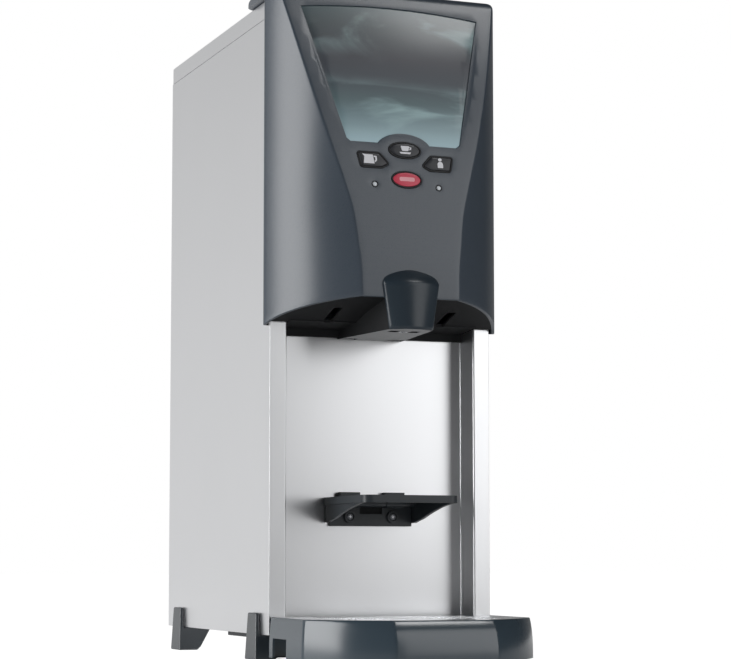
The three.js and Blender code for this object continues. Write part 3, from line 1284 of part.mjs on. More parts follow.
function dispenseValve() {
  const back = -VALVE_FRONT / 2 + RECESS_DEPTH / 2;
  const body = block([-VALVE_HALF, VALVE_HALF], [-VALVE_FRONT, back],
    [OUTLET_HEIGHT - VALVE_HEIGHT / 2, OUTLET_HEIGHT + VALVE_HEIGHT / 2]);
  const coilFrom = OUTLET_HEIGHT + VALVE_HEIGHT / 2 - GAP;
  const coil = rod([0, 0, coilFrom], [0, 0, coilFrom + COIL_HEIGHT], COIL_RADIUS, 20);
  const ears = block([-VALVE_HALF - PIPE_FLANGE, VALVE_HALF + PIPE_FLANGE], [back - STAND_WALL, back],
    [coilFrom - STAND_WALL, coilFrom + STAND_FOOT]);
  const arms = [-1, 1].map((way) => block(
    between(way * (VALVE_HALF + PIPE_FLANGE), way * (VALVE_HALF + PIPE_FLANGE - STAND_WALL)),
    [back - STAND_WALL, RECESS_DEPTH - GAP], [coilFrom - STAND_WALL, coilFrom + STAND_FOOT]));
  const spigot = rod([0, 0, HOSE_END], [0, 0, OUTLET_HEIGHT], HOSE_RADIUS, 16);
  return join(body, coil, ears, ...arms, spigot);
}

function outletHose() {
  const low = NOZZLE_TOP + GAP;
  const high = HOSE_END - GAP;
  const middle = (low + high) / 2;
  return hose([
    [0, 0, high],
    [0, 0, high - HOSE_RADIUS / 2],
    [0, -2 * HOSE_RADIUS, middle],
    [0, -NOZZLE_REACH / 2, middle],
    [0, -NOZZLE_REACH + 2 * HOSE_RADIUS, middle],
    [0, -NOZZLE_REACH, low + HOSE_RADIUS / 2],
    [0, -NOZZLE_REACH, low],
  ], HOSE_RADIUS, 20);
}

function inletFitting() {
  const at = (y) => [INLET_X, y, INLET_HEIGHT];
  return cut(
    join(
      rod(at(BODY_DEPTH - SHEET - GAP), at(OVERALL_BACK), INLET_RADIUS, 20),
      rod(at(BODY_DEPTH + GAP), at(BODY_DEPTH + GAP + INLET_NUT_THICK), INLET_NUT, 6),
    ),
    rod(at(OVERALL_BACK - INLET_RADIUS), at(OVERALL_BACK + OVERRUN), INLET_RADIUS / 2, 16),
  );
}

function inletValve() {
  const back = BODY_DEPTH - SHEET - 2 * GAP;
  const front = back - INLET_VALVE_DEPTH;
  const z = INLET_HEIGHT;
  const body = block([INLET_X - INLET_VALVE_HALF, INLET_X + INLET_VALVE_HALF], [front, back],
    [z - INLET_VALVE_HALF, z + INLET_VALVE_HALF]);
  const coil = rod([INLET_X, (front + back) / 2, z], [INLET_X, (front + back) / 2, z + COIL_HEIGHT],
    INLET_VALVE_DEPTH / 2 - GAP, 20);
  return join(body, coil);
}

function inletHose() {
  const start = INLET_X + INLET_VALVE_HALF + GAP;
  const y = BODY_DEPTH - SHEET - 2 * GAP - INLET_VALVE_DEPTH / 2;
  const low = BODY_BOTTOM + SHEET + GAP + 2 * HOSE_RADIUS;
  return hose([
    [start, y, low], [start + HOSE_RADIUS, y, low], [INLET_HOSE_X - HOSE_RADIUS, y - HOSE_RADIUS, low],
    [INLET_HOSE_X, (y + inletHoseY()) / 2, low], [INLET_HOSE_X, inletHoseY() + HOSE_RADIUS, low],
    [INLET_HOSE_X, inletHoseY(), low + 2 * HOSE_RADIUS],
    [INLET_HOSE_X, inletHoseY(), TANK_BOTTOM + TANK_WALL * 2],
  ], HOSE_RADIUS, 24);
}

function drainPlug() {
  const at = (z) => [DRAIN_X, DRAIN_SETBACK, z];
  const low = BODY_BOTTOM - GAP - DRAIN_CAP_HEIGHT;
  return join(
    rod(at(low), at(TANK_BOTTOM + 2 * TANK_WALL), DRAIN_RADIUS, 20),
    rod(at(low), at(BODY_BOTTOM - GAP), DRAIN_CAP, 6),
  );
}

function cableGland() {
  const at = (y) => [GLAND_X, y, GLAND_HEIGHT];
  const inside = BODY_DEPTH - SHEET - GAP;
  return cut(
    join(
      rod(at(inside - GLAND_NUT_THICK), at(inside), GLAND_NUT, 6),
      rod(at(inside - GLAND_NUT_THICK), at(BODY_DEPTH + GLAND_NUT_THICK), GLAND_RADIUS, 20),
      rod(at(BODY_DEPTH + GAP), at(BODY_DEPTH + GAP + GLAND_NUT_THICK), GLAND_NUT, 6),
      rod(at(BODY_DEPTH + GLAND_NUT_THICK), at(BODY_DEPTH + GLAND_REACH), GLAND_NUT - GAP, 20, GLAND_RADIUS),
    ),
    rod(at(inside - GLAND_NUT_THICK - OVERRUN), at(BODY_DEPTH + GLAND_REACH + OVERRUN), GLAND_BORE, 16),
  );
}

function switchHousing() {
  const x = (extra) => [SWITCH_X - SWITCH_HALF_WIDTH - extra, SWITCH_X + SWITCH_HALF_WIDTH + extra];
  const z = (extra) => {
    const half = SWITCH_HALF_HEIGHT + extra;
    return [SWITCH_HEIGHT - half, SWITCH_HEIGHT + half];
  };
  const wall = SWITCH_BEZEL / 2 - GAP;
  const face = BODY_DEPTH + GAP + SWITCH_BEZEL_THICK;
  const outer = block(x(wall), [BODY_DEPTH - SWITCH_BODY_DEPTH, face], z(wall));
  const bezel = block(x(SWITCH_BEZEL), [BODY_DEPTH + GAP, face], z(SWITCH_BEZEL));
  const room = block(x(0), [BODY_DEPTH - SWITCH_BODY_DEPTH / 2, BODY_DEPTH + OVERRUN], z(0));
  return join(outer, bezel).subtract(room);
}

// The rocker, drawn about its own pivot: a dished face over a round hub.
function rocker() {
  const half = SWITCH_HALF_HEIGHT - GAP * 3;
  const side = SWITCH_HALF_WIDTH - GAP;
  const tilt = Math.tan((SWITCH_ANGLE * Math.PI) / 360);
  const outline = [
    [-ROCKER_DEPTH / 3, -half + ROCKER_PROUD], [ROCKER_PROUD, -half], [ROCKER_PROUD - half * tilt, 0],
    [ROCKER_PROUD, half], [-ROCKER_DEPTH / 3, half - ROCKER_PROUD], [-ROCKER_DEPTH, 0],
  ];
  return prismX(outline, [-side, side]);
}

function terminalBlock() {
  const low = BODY_BOTTOM + SHEET + GAP;
  const body = block(
    [BLOCK_X - BLOCK_HALF, BLOCK_X + BLOCK_HALF], [BLOCK_SETBACK, BLOCK_SETBACK + BLOCK_DEPTH],
    [low, low + BLOCK_HEIGHT]);
  const grooves = [-1, 0, 1].map((way) => {
    const x = BLOCK_X + (way * BLOCK_HALF) / 2;
    return block([x - GAP, x + GAP], [BLOCK_SETBACK - OVERRUN, BLOCK_SETBACK + BLOCK_DEPTH + OVERRUN],
      [low + BLOCK_HEIGHT / 2, low + BLOCK_HEIGHT + OVERRUN]);
  });
  return cut(body, ...grooves);
}

function powerRelay() {
  const back = BODY_DEPTH - SHEET - GAP;
  const fins = [-1, 0, 1].map((way) => {
    const x = way * (RELAY_HALF / 2);
    return block([x - STAND_WALL, x + STAND_WALL], [back - RELAY_DEPTH - OVERRUN, back - RELAY_DEPTH / 2],
      [RELAY_HEIGHT - OVERRUN, RELAY_HEIGHT + RELAY_TALL + OVERRUN]);
  });
  const body = block(
    [-RELAY_HALF, RELAY_HALF], [back - RELAY_DEPTH, back], [RELAY_HEIGHT, RELAY_HEIGHT + RELAY_TALL]);
  return cut(body, ...fins);
}

const casing = group(
  mesh("base_plate", basePlate(), STEEL),
  mesh("left_side_panel", sidePanel(-1), STEEL),
  mesh("right_side_panel", sidePanel(1), STEEL),
  mesh("front_panel", frontPanel(), STEEL),
  mesh("rear_panel", rearPanel(), STEEL),
  mesh("top_lid", topLid(), STEEL),
  mesh("foot_front_left", foot(-1, FRONT_FOOT_START), DARK_PLASTIC),
  mesh("foot_front_right", foot(1, FRONT_FOOT_START), DARK_PLASTIC),
  mesh("foot_rear_left", foot(-1, BODY_DEPTH - REAR_FOOT_START), DARK_PLASTIC),
  mesh("foot_rear_right", foot(1, BODY_DEPTH - REAR_FOOT_START), DARK_PLASTIC),
  mesh("tray_rail_left", trayRail(-1), DARK_PLASTIC),
  mesh("tray_rail_right", trayRail(1), DARK_PLASTIC),
);

const hood = group(
  mesh("hood_shell", hoodShell(), HOOD_PLASTIC),
  mesh("hood_underside", hoodUnderside(), DARK_PLASTIC),
  mesh("spout_nose", spoutNose(), HOOD_PLASTIC),
  mesh("display_window", displayWindow(), GLASS_PLASTIC),
  mesh("display_graphic", displayGraphic(), GLASS_PLASTIC),
  mesh("display_backlight", displayBacklight(), LAMP_WHITE),
);

const keypad = group(
  mesh("keypad_frame", rimFrame(), BLACK_PLASTIC),
  ...Object.entries(BUTTONS).map(([name, spec]) => mesh(name, button(spec), spec.material)),
  ...Object.entries(LENSES).map(([name, x]) => mesh(name, lens(x), LAMP_WHITE)),
  mesh("keypad_mat", keypadMat(), RUBBER),
  mesh("control_board", controlBoard(), BOARD_GREEN),
);
keypad.position.copy(KEYPAD.position);
keypad.rotation.copy(KEYPAD.rotation);

const shelf = group(
  mesh("shelf_mount", shelfMount(), DARK_PLASTIC),
  mesh("cup_shelf", cupShelf(), HOOD_PLASTIC),
  mesh("shelf_pin", rod([-PIN_HALF, 0, 0], [PIN_HALF, 0, 0], PIN_RADIUS, 16), BRIGHT_STEEL),
  mesh("shelf_screw_left", shelfScrew(-SCREW_X), BRIGHT_STEEL),
  mesh("shelf_screw_right", shelfScrew(SCREW_X), BRIGHT_STEEL),
);
shelf.position.set(0, PIN_SETBACK, PIN_HEIGHT);

const tray = group(
  mesh("drip_tray", dripTray(), TRAY_PLASTIC),
  mesh("drip_grid", dripGrid(), BRIGHT_STEEL),
);

const boiler = group(
  mesh("water_tank", waterTank(), STEEL),
  mesh("tank_insulation", tankInsulation(), FOAM),
  mesh("tank_lid", tankLid(), STEEL),
  mesh("tank_stand", tankStand(), STEEL),
  mesh("heating_element", heatingElement(), BRIGHT_STEEL),
  mesh("level_probe", probe(-PROBE_X, PROBE_LENGTH), BRIGHT_STEEL),
  mesh("temperature_sensor", probe(PROBE_X, SENSOR_LENGTH), BRIGHT_STEEL),
  mesh("safety_thermostat", safetyThermostat(), CERAMIC),
);

const waterPath = group(
  mesh("outlet_pipe", outletPipe(), BRIGHT_STEEL),
  mesh("dispense_valve", dispenseValve(), DARK_PLASTIC),
  mesh("outlet_hose", outletHose(), SILICONE),
  mesh("outlet_nozzle", outletNozzle(), BRIGHT_STEEL),
  mesh("inlet_fitting", inletFitting(), BRASS),
  mesh("inlet_valve", inletValve(), DARK_PLASTIC),
  mesh("inlet_hose", inletHose(), SILICONE),
  mesh("drain_plug", drainPlug(), BRASS),
);

const switchRocker = mesh("power_switch", rocker(), BLACK_PLASTIC);
switchRocker.position.set(SWITCH_X, BODY_DEPTH, SWITCH_HEIGHT);
switchRocker.rotation.x = -THREE.MathUtils.degToRad(SWITCH_ANGLE / 2);

const electrics = group(
  mesh("cable_gland", cableGland(), BLACK_PLASTIC),
  mesh("switch_housing", switchHousing(), BLACK_PLASTIC),
  switchRocker,
  mesh("terminal_block", terminalBlock(), LAMP_WHITE),
  mesh("power_relay", powerRelay(), BLACK_PLASTIC),
);

// The origin is under the middle of the whole, so the flanges lie a little in front of it.
const dispenser = group(casing, hood, keypad, shelf, tray, boiler, waterPath, electrics);
dispenser.position.y = (OVERALL_FRONT - OVERALL_BACK) / 2;

export default group(dispenser);
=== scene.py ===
"""Looks of a countertop hot water dispenser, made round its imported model."""
import json
import math

import bmesh
import bpy
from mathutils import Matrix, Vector
from mathutils.geometry import delaunay_2d_cdt, intersect_point_line

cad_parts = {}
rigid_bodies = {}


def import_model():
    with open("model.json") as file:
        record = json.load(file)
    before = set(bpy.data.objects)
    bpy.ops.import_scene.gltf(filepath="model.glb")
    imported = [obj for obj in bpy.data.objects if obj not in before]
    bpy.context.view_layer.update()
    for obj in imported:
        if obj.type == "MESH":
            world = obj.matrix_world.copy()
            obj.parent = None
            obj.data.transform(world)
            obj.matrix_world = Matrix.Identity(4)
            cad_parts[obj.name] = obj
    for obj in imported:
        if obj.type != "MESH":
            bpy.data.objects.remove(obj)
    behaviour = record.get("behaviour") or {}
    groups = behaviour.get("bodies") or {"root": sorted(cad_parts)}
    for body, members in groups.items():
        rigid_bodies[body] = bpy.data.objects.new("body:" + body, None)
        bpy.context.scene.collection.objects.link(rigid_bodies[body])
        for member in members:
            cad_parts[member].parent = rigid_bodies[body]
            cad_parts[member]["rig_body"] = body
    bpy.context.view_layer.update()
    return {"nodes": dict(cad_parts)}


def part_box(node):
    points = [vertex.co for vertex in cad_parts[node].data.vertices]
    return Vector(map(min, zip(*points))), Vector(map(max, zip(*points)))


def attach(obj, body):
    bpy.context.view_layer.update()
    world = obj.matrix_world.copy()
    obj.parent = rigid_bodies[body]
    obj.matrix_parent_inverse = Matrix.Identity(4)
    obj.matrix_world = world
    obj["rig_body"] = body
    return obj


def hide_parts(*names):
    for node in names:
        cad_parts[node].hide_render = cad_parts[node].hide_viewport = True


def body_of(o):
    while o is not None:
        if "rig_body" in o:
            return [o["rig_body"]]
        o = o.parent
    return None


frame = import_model()

# Lengths below are millimetres in the part's own axes: x to the right, y back from the flanges,
# z up.
MM = 0.001
FLANGE_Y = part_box("left_side_panel")[0].y
HOOD_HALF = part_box("hood_shell")[1].x / MM
HOOD_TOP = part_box("hood_shell")[1].z / MM
HOOD_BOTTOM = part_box("hood_shell")[0].z / MM
BODY_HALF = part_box("right_side_panel")[1].x / MM
BODY_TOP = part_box("top_lid")[1].z / MM

# Camera.
CAMERA_X = -804.48
CAMERA_FRONT = 2043.53
CAMERA_HEIGHT = 98.36
CAMERA_YAW = 21.074
CAMERA_PITCH = 5.202
CAMERA_LENS = 108.59
CAMERA_SHIFT = 0.04
SENSOR = 36.0

# Hood.
ARCH_RISE = 23.0
ARCH_POWER = 0.75
ARCH_SOLID_POWER = 1.4
FACET_REACH_BOTTOM = 78.3
FACET_REACH_TOP = 15.8
FACET_BEND_POWER = 1.8
FACET_HALF_BOTTOM = 50.7
FACET_SIDE_MARGIN = 6.8
FACET_SHARES = (
    (0, 0), (0.094, 0.0135), (0.164, 0.05), (0.27, 0.116), (0.36, 0.23),
    (0.447, 0.353), (0.547, 0.489), (0.737, 0.717), (1, 1),
)
FLANK_ENTRY = 22.0
FACET_ROUND = 1.8
HOOD_WRAP = 2.5
HOOD_WALL = 3.0
HOOD_ROUND = 8.0
ROUND_SHARE = 0.8
COWL_DEPTH = 64.0
COWL_CORNER = 12.0
COWL_SEAT = 0.3
HOOD_LAP = 8.0
EDGE_ROUND = 0.8
FLANK_STEPS = 30
FACET_ROUND_STEPS = 6
FACET_STEPS = 24
FACET_PITCH = 6.5
EDGE_PASSES = 12
HOOD_ROWS = 64
ROUND_STEPS = 6
ARC_STEPS = 4

# Window, keypad, lamps and signs.
WINDOW_DROP = 24.0
WINDOW_RISE = 6.0
WINDOW_HEIGHT = 139.5
WINDOW_SIDE_MARGIN = 22.6
WINDOW_TAPER = 35.4
WINDOW_CORNER = 3.0
WINDOW_INSET = 1.3
WINDOW_STEPS = 24
PANE_PITCH = 7.0
NOTCH_HALF = 29.0
NOTCH_RISE = 17.0
KEYPAD_DROP = 21.5
OVAL_LIFT = 15.5
STOP_DROP = 14.8
CUP_HALF = (15.4, 7.0)
STOP_HALF = (14.2, 7.0)
SIDE_BUTTON = ((49.1, 10.2), (27.8, 10.2), (19.2, 0.6), (25.6, -3.0), (46.3, -3.0))
SIDE_BUTTON_CORNER = 1.6
BUTTON_PITCH = 1.6
BUTTON_PROUD = 1.2
BUTTON_CROWN = 0.5
BUTTON_ROUND = 0.6
ON_EDGE = 1e-4
RIM_WIDTH = 1.7
RIM_PROUD = 0.5
RIM_GAP = 0.3
RIM_TRIM = 0.1
RIM_SOFT = 0.35
RIM_SOFT_SHARE = 0.3
WELL_DEPTH = 4.0
LENS_X = 33.7
LENS_DROP = 21.2
LENS_RADIUS = 2.4
LENS_TIP = 0.001
LENS_RISE = 0.9
LENS_SINK = 0.5
LENS_ROOT = 3.0
LENS_STEPS = 8
LENS_SIDES = 28
LENS_HOLE_SIDES = 24
# The ring round a lamp, as pairs of offset and height.
LENS_RING = ((0.1, -1), (0.1, 0.15), (0.4, 0.35), (0.8, 0.25), (1.0, -0.2))
PRINT_LIFT = 0.12
PRINT_PITCH = 0.9
JUG_SIGN_SPOT = (-38.2, 3.9)
FLASK_SIGN_SPOT = (36.4, 3.8)

# Heights and widths that follow from these.
HOOD_ARCH = HOOD_BOTTOM + ARCH_RISE
RISE_TOP = HOOD_TOP - HOOD_ARCH
FACET_HALF_TOP = HOOD_HALF - FACET_SIDE_MARGIN
WINDOW_TOP = HOOD_TOP - WINDOW_DROP
WINDOW_BOTTOM = WINDOW_TOP - WINDOW_HEIGHT
WINDOW_HALF_TOP = FACET_HALF_TOP - WINDOW_SIDE_MARGIN
WINDOW_HALF_BOTTOM = WINDOW_HALF_TOP - WINDOW_TAPER
KEYPAD_HEIGHT = WINDOW_BOTTOM - KEYPAD_DROP
ROUND_START = HOOD_TOP - HOOD_ROUND
COWL_BOTTOM = BODY_TOP + COWL_SEAT

# Casing, arm and shelf. Slacks, facings and spans pick out edges and faces of the solids.
# The arm's level and facing pick the underside's lower faces that get the painted reflection.
ARM_LEVEL = 320.4
ARM_FACING = -0.9
FOLD_RADIUS = 1.7
FOLD_STEPS = 5
FOLD_SLACK = 0.05
CORNER_RADIUS = 0.8
CROSS_LONG = 1.3
CROSS_THICK = 0.3
CROSS_PROUD = 0.1
CROSS_DEPTH = 0.3
ARCH_SLACK = 2.0
# The pocket's half width, span and depths pick the mount's faces that get painted shade.
POCKET_HALF = 12.5
POCKET_SPAN = (143.5, 152.5)
POCKET_DEPTHS = (-71.2, -68.5)

# Tray.
TRAY_TOP = 42.5
TRAY_BOTTOM = 4.0
TRAY_HALF = 115.7
TRAY_REAR = 3.0
TRAY_CORNER = 97.0
TRAY_FACET_HALF = 50.0
TRAY_REACH = 157.4
TRAY_FLARE = 2.3
TRAY_SLOPE = 7.3
TRAY_BULGE = 9.0
TRAY_SWELL_POWER = 3
TRAY_WINDOW_SPAN = (13.0, 53.0)
TRAY_WINDOW_TOP = 22.7
TRAY_SKIN = 0.12
TRAY_EDGE = 1.0
TRAY_WALL = 2.4
TRAY_CREASE = 1.6
TRAY_SIDE_END = 4
TRAY_ROWS = 20
TRAY_STEPS = 36
CREASE_STEPS = 5
TRAY_FRONT_STEPS = 4

# Spout nose.
NOSE_HALF_BOTTOM = 22.8
NOSE_HALF_TOP = 29.3
NOSE_BOTTOM = 319.6
NOSE_SHOULDER = 364.2
NOSE_DOME = 14.0
NOSE_REACH = 89.0
NOSE_DOME_REACH = 77.4
NOSE_EASE = 1.3
NOSE_ROUND = 0.65
NOSE_CORNER = 2.6
NOSE_BULGE = 8.0
NOSE_WALL = 2.5
NOSE_LIP = 0.8
NOSE_ROWS = 14
NOSE_DOME_ROWS = 18
NOSE_DOME_CUT = 0.2
NOSE_CORNER_STEPS = 6
NOSE_FRONT_STEPS = 14
NOSE_HOLLOW = 20
NOSE_SEAT = 75.0
NOSE_REAR = 78.6

# Mesh work: weld and sliver in metres, angles in degrees.
WELD = 2e-6
SLIVER = 1e-7
FLAT_ANGLE = 1
BEVEL_ANGLE = 30.0
SHARP_ANGLE = 35.0
MITRE_LIMIT = 0.4
POINT_MARGIN = 0.45
CUT_SLACK = 1e-6

# Studio. Lengths are metres here. Each of the first fades runs over a share of a direction.
# A fade says where it starts and ends, and its two strengths.
SKY_BEHIND = (0.35, 0.8, 0.05, 0.71)
SKY_RIGHT = (0.1, 0.6, 1.0, 0.3)
SKY_ABOVE = (0.0, 0.5, 1.0, 0.5)
FLOOR_REACH = 12.0
FLOOR_GREY = 0.4
FLOOR_SHEEN = (-0.6, 0.8, 0.2, 0.66)
FLOOR_FADE = (0.5, 1.8, 0.95, 1)
FLOOR_BOUNCE = (0, 1, 0, 0.5)
# Name, place, target, width, height, power.
LIGHTS = (
    ("left_box", (-2.3, -0.18, 0.75), (0, 0, 0.4), 1.4, 1.8, 38),
    ("front_right_box", (1.65, -2.47, 1.15), (0, -0.1, 0.35), 1.8, 2.3, 20.5),
    ("top_box", (0.95, -1.2, 2.3), (0, 0, 0.4), 0.5, 0.5, 6),
)


def srgb(*levels):
    """Screen levels from 0 to 255 as the linear colour that a shader takes."""
    shares = [level / 255 for level in levels]
    linear = [s / 12.92 if s <= 0.04045 else ((s + 0.055) / 1.055) ** 2.4 for s in shares]
    return (*linear, 1.0)


def part_point(x, y, z):
    return Vector((x * MM, y * MM + FLANGE_Y, z * MM))


# Materials.

PATCH_DETAIL = 4.0
GRAIN_DETAIL = 2.0
NOISE_SPAN = (0.3, 0.7)
SMOOTHEST = 0.02
BUMP_HEIGHT = 0.0004
DUSK = (
    (0.0, (128, 154, 162)), (0.12, (104, 126, 132)), (0.3, (72, 88, 92)), (0.46, (60, 66, 72)),
    (0.62, (54, 56, 62)), (0.85, (48, 58, 62)), (1.0, (44, 62, 66)),
)
# Layers of mist: stretch, lowest and highest share of the window, strength.
MIST = (((9, 9, 38), 0.02, 0.5, 0.5), ((12, 12, 26), 0.55, 1.1, 0.4))
MIST_SPAN = (0.46, 0.74)
MIST_COLOR = (170, 200, 202)
MIST_SOCKETS = {"Scale": 1.0, "Detail": 5.0, "Distortion": 0.7}
DISPLAY_SOCKETS = {
    "Emission Strength": 0.45, "Roughness": 0.5, "Coat Weight": 1.0, "Coat Roughness": 0.16,
}


def finish_nodes(name):
    made = bpy.data.materials.new(name)
    made.use_nodes = True
    nodes, links = made.node_tree.nodes, made.node_tree.links
    return made, nodes, links, nodes["Principled BSDF"]


def noise(nodes, links, stretch, scale, detail):
    """Noise fixed to the piece, drawn out along the axes whose stretch is small."""
    place = nodes.new("ShaderNodeTexCoord")
    mapping = nodes.new("ShaderNodeMapping")
    mapping.inputs["Scale"].default_value = stretch
    texture = nodes.new("ShaderNodeTexNoise")
    texture.inputs["Scale"].default_value = scale
    texture.inputs["Detail"].default_value = detail
    links.new(place.outputs["Object"], mapping.inputs["Vector"])
    links.new(mapping.outputs["Vector"], texture.inputs["Vector"])
    return texture.outputs["Fac"]


def ramped(nodes, links, value, start, end, low, high, easing="SMOOTHSTEP"):
    step = nodes.new("ShaderNodeMapRange")
    step.interpolation_type = easing
    limits = (("From Min", start), ("From Max", end), ("To Min", low), ("To Max", high))
    for socket, number in limits:
        step.inputs[socket].default_value = number
    links.new(value, step.inputs["Value"])
    return step.outputs["Result"]


def calculated(nodes, links, operation, a, b):
    made = nodes.new("ShaderNodeMath")
    made.operation = operation
    links.new(a, made.inputs[0])
    links.new(b, made.inputs[1])
    return made.outputs["Value"]


def product(nodes, links, a, b):
    return calculated(nodes, links, "MULTIPLY", a, b)


def tinted(nodes, links, value, color, spread):
    """A colour that wanders a little lighter and darker."""
    mix = nodes.new("ShaderNodeMix")
    mix.data_type = "RGBA"
    dark = [c * (1 - spread) for c in color[:3]]
    light = [min(c * (1 + spread), 1.0) for c in color[:3]]
    mix.inputs["A"].default_value = (*dark, 1)
    mix.inputs["B"].default_value = (*light, 1)
    links.new(value, mix.inputs["Factor"])
    return mix.outputs["Result"]


def finish(name, color, roughness, metallic, spread, patch, grain, depth,
           stretch=(1, 1, 1), wander=0.04, **sockets):
    """A surface with its own colour, slow patches, a fine grain and an uneven gloss."""
    made, nodes, links, shader = finish_nodes(name)
    slow = noise(nodes, links, (1, 1, 1), patch, PATCH_DETAIL)
    fine = noise(nodes, links, stretch, grain, GRAIN_DETAIL)
    links.new(tinted(nodes, links, slow, color, spread), shader.inputs["Base Color"])
    smooth, rough = max(roughness - wander, SMOOTHEST), roughness + wander
    gloss = ramped(nodes, links, fine, *NOISE_SPAN, smooth, rough, easing="LINEAR")
    links.new(gloss, shader.inputs["Roughness"])
    bump = nodes.new("ShaderNodeBump")
    bump.inputs["Strength"].default_value = depth
    bump.inputs["Distance"].default_value = BUMP_HEIGHT
    links.new(fine, bump.inputs["Height"])
    links.new(bump.outputs["Normal"], shader.inputs["Normal"])
    shader.inputs["Metallic"].default_value = metallic
    for socket, value in sockets.items():
        shader.inputs[socket].default_value = value
    return made


def graphic_finish():
    """The window's print: a dusk gradient with drifting mist, softly lit from behind."""
    made, nodes, links, shader = finish_nodes("display_print")
    place = nodes.new("ShaderNodeTexCoord")
    parts = nodes.new("ShaderNodeSeparateXYZ")
    links.new(place.outputs["Object"], parts.inputs["Vector"])
    low, high = WINDOW_BOTTOM * MM, (WINDOW_TOP + WINDOW_RISE) * MM
    rise = ramped(nodes, links, parts.outputs["Z"], low, high, 0, 1, easing="LINEAR")
    ramp = nodes.new("ShaderNodeValToRGB")
    elements = ramp.color_ramp.elements
    for element, (position, color) in zip(elements, (DUSK[0], DUSK[-1])):
        element.position, element.color = position, srgb(*color)
    for position, color in DUSK[1:-1]:
        elements.new(position).color = srgb(*color)
    links.new(rise, ramp.inputs["Fac"])
    layers = ramp.outputs["Color"]
    for stretch, low, high, strength in MIST:
        mapping = nodes.new("ShaderNodeMapping")
        mapping.inputs["Scale"].default_value = stretch
        links.new(place.outputs["Object"], mapping.inputs["Vector"])
        mist = nodes.new("ShaderNodeTexNoise")
        for socket, number in MIST_SOCKETS.items():
            mist.inputs[socket].default_value = number
        links.new(mapping.outputs["Vector"], mist.inputs["Vector"])
        middle = (low + high) / 2
        rising = ramped(nodes, links, rise, low, middle, 0, strength)
        falling = ramped(nodes, links, rise, middle, high, 1, 0)
        veil = ramped(nodes, links, mist.outputs["Fac"], *MIST_SPAN, 0, 1)
        amount = product(nodes, links, product(nodes, links, rising, falling), veil)
        mix = nodes.new("ShaderNodeMix")
        mix.data_type = "RGBA"
        mix.inputs["B"].default_value = srgb(*MIST_COLOR)
        links.new(amount, mix.inputs["Factor"])
        links.new(layers, mix.inputs["A"])
        layers = mix.outputs["Result"]
    links.new(layers, shader.inputs["Base Color"])
    links.new(layers, shader.inputs["Emission Color"])
    for socket, number in DISPLAY_SOCKETS.items():
        shader.inputs[socket].default_value = number
    return made


ALONG_Z = (1, 1, 0.02)
ALONG_X = (0.02, 1, 1)
# Name, screen colour, roughness, metallic, spread of colour, scale of patches, scale of grain,
# bump, and further values.
FINISH_ROWS = (
    ("cabinet_steel", (238, 239, 241), 0.29, 1.0, 0.02, 6, 2600, 0.01,
     {"stretch": ALONG_Z, "wander": 0.015}),
    ("splash_steel", (236, 237, 239), 0.28, 1.0, 0.01, 6, 2600, 0.0,
     {"stretch": ALONG_X, "wander": 0.003}),
    ("bright_steel", (214, 216, 219), 0.24, 1.0, 0.03, 14, 2200, 0.04,
     {"stretch": ALONG_X, "wander": 0.06}),
    ("hood_plastic", (70, 79, 89), 0.3, 0.0, 0.05, 9, 3200, 0.05, {"IOR": 1.66}),
    # spout_plastic is painted shade: a darker copy of the hood's plastic for the nose.
    ("spout_plastic", (44, 55, 64), 0.3, 0.0, 0.04, 9, 3200, 0.03, {}),
    # under_black is painted shade: near black, darker than the dark plastic, for the cover under
    # the hood and the pocket in the shelf mount.
    ("under_black", (20, 22, 25), 0.75, 0.0, 0.07, 14, 2600, 0.08, {}),
    # arm_plastic is a painted reflection: lighter and glossier, for the arm's lower faces under the
    # hood.
    ("arm_plastic", (58, 62, 67), 0.3, 0.0, 0.05, 14, 2600, 0.04, {}),
    # shelf_plastic is painted light: a lighter copy of the dark plastic for the shelf and its
    # mount.
    ("shelf_plastic", (46, 52, 57), 0.36, 0.0, 0.05, 14, 2600, 0.04, {"IOR": 1.55}),
    # dark_screw is painted shade: a darker copy of the bright steel for the shelf screws.
    ("dark_screw", (96, 98, 102), 0.3, 1.0, 0.05, 20, 2600, 0.04, {}),
    ("dark_plastic", (38, 42, 47), 0.5, 0.0, 0.07, 14, 2600, 0.08, {}),
    ("tray_plastic", (64, 77, 87), 0.2, 0.0, 0.05, 10, 2600, 0.02, {"IOR": 1.75}),
    ("foot_plastic", (38, 48, 56), 0.35, 0.0, 0.06, 20, 2600, 0.05, {"IOR": 2.1}),
    ("button_black", (48, 50, 55), 0.32, 0.0, 0.06, 40, 3000, 0.04, {}),
    ("rim_black", (17, 18, 22), 0.45, 0.0, 0.1, 40, 3000, 0.06, {}),
    ("button_red", (214, 70, 92), 0.3, 0.0, 0.05, 40, 3000, 0.04, {}),
    ("lamp", (226, 232, 238), 0.25, 0.0, 0.03, 60, 3000, 0.02, {}),
    ("board", (30, 88, 58), 0.45, 0.0, 0.1, 60, 2000, 0.1, {}),
    ("mat_rubber", (42, 42, 44), 0.8, 0.0, 0.1, 30, 1800, 0.15, {}),
    ("foam", (62, 62, 64), 0.95, 0.0, 0.15, 40, 900, 0.4, {}),
    ("brass", (190, 160, 100), 0.3, 1.0, 0.08, 30, 2400, 0.06, {}),
    ("silicone", (222, 218, 208), 0.5, 0.0, 0.05, 20, 1600, 0.05, {}),
    ("ceramic", (232, 228, 218), 0.45, 0.0, 0.05, 30, 1600, 0.08, {}),
    ("tank_steel", (196, 197, 199), 0.3, 1.0, 0.06, 12, 2200, 0.06,
     {"stretch": ALONG_Z, "wander": 0.06}),
    ("print_white", (236, 237, 242), 0.5, 0.0, 0.03, 60, 3000, 0.02, {}),
    ("print_rose", (246, 176, 184), 0.5, 0.0, 0.03, 60, 3000, 0.02, {}),
)
FINISHES = {
    name: finish(name, srgb(*color), *numbers, **more)
    for name, color, *numbers, more in FINISH_ROWS
}
FINISHES["display"] = graphic_finish()


# Mesh helpers.


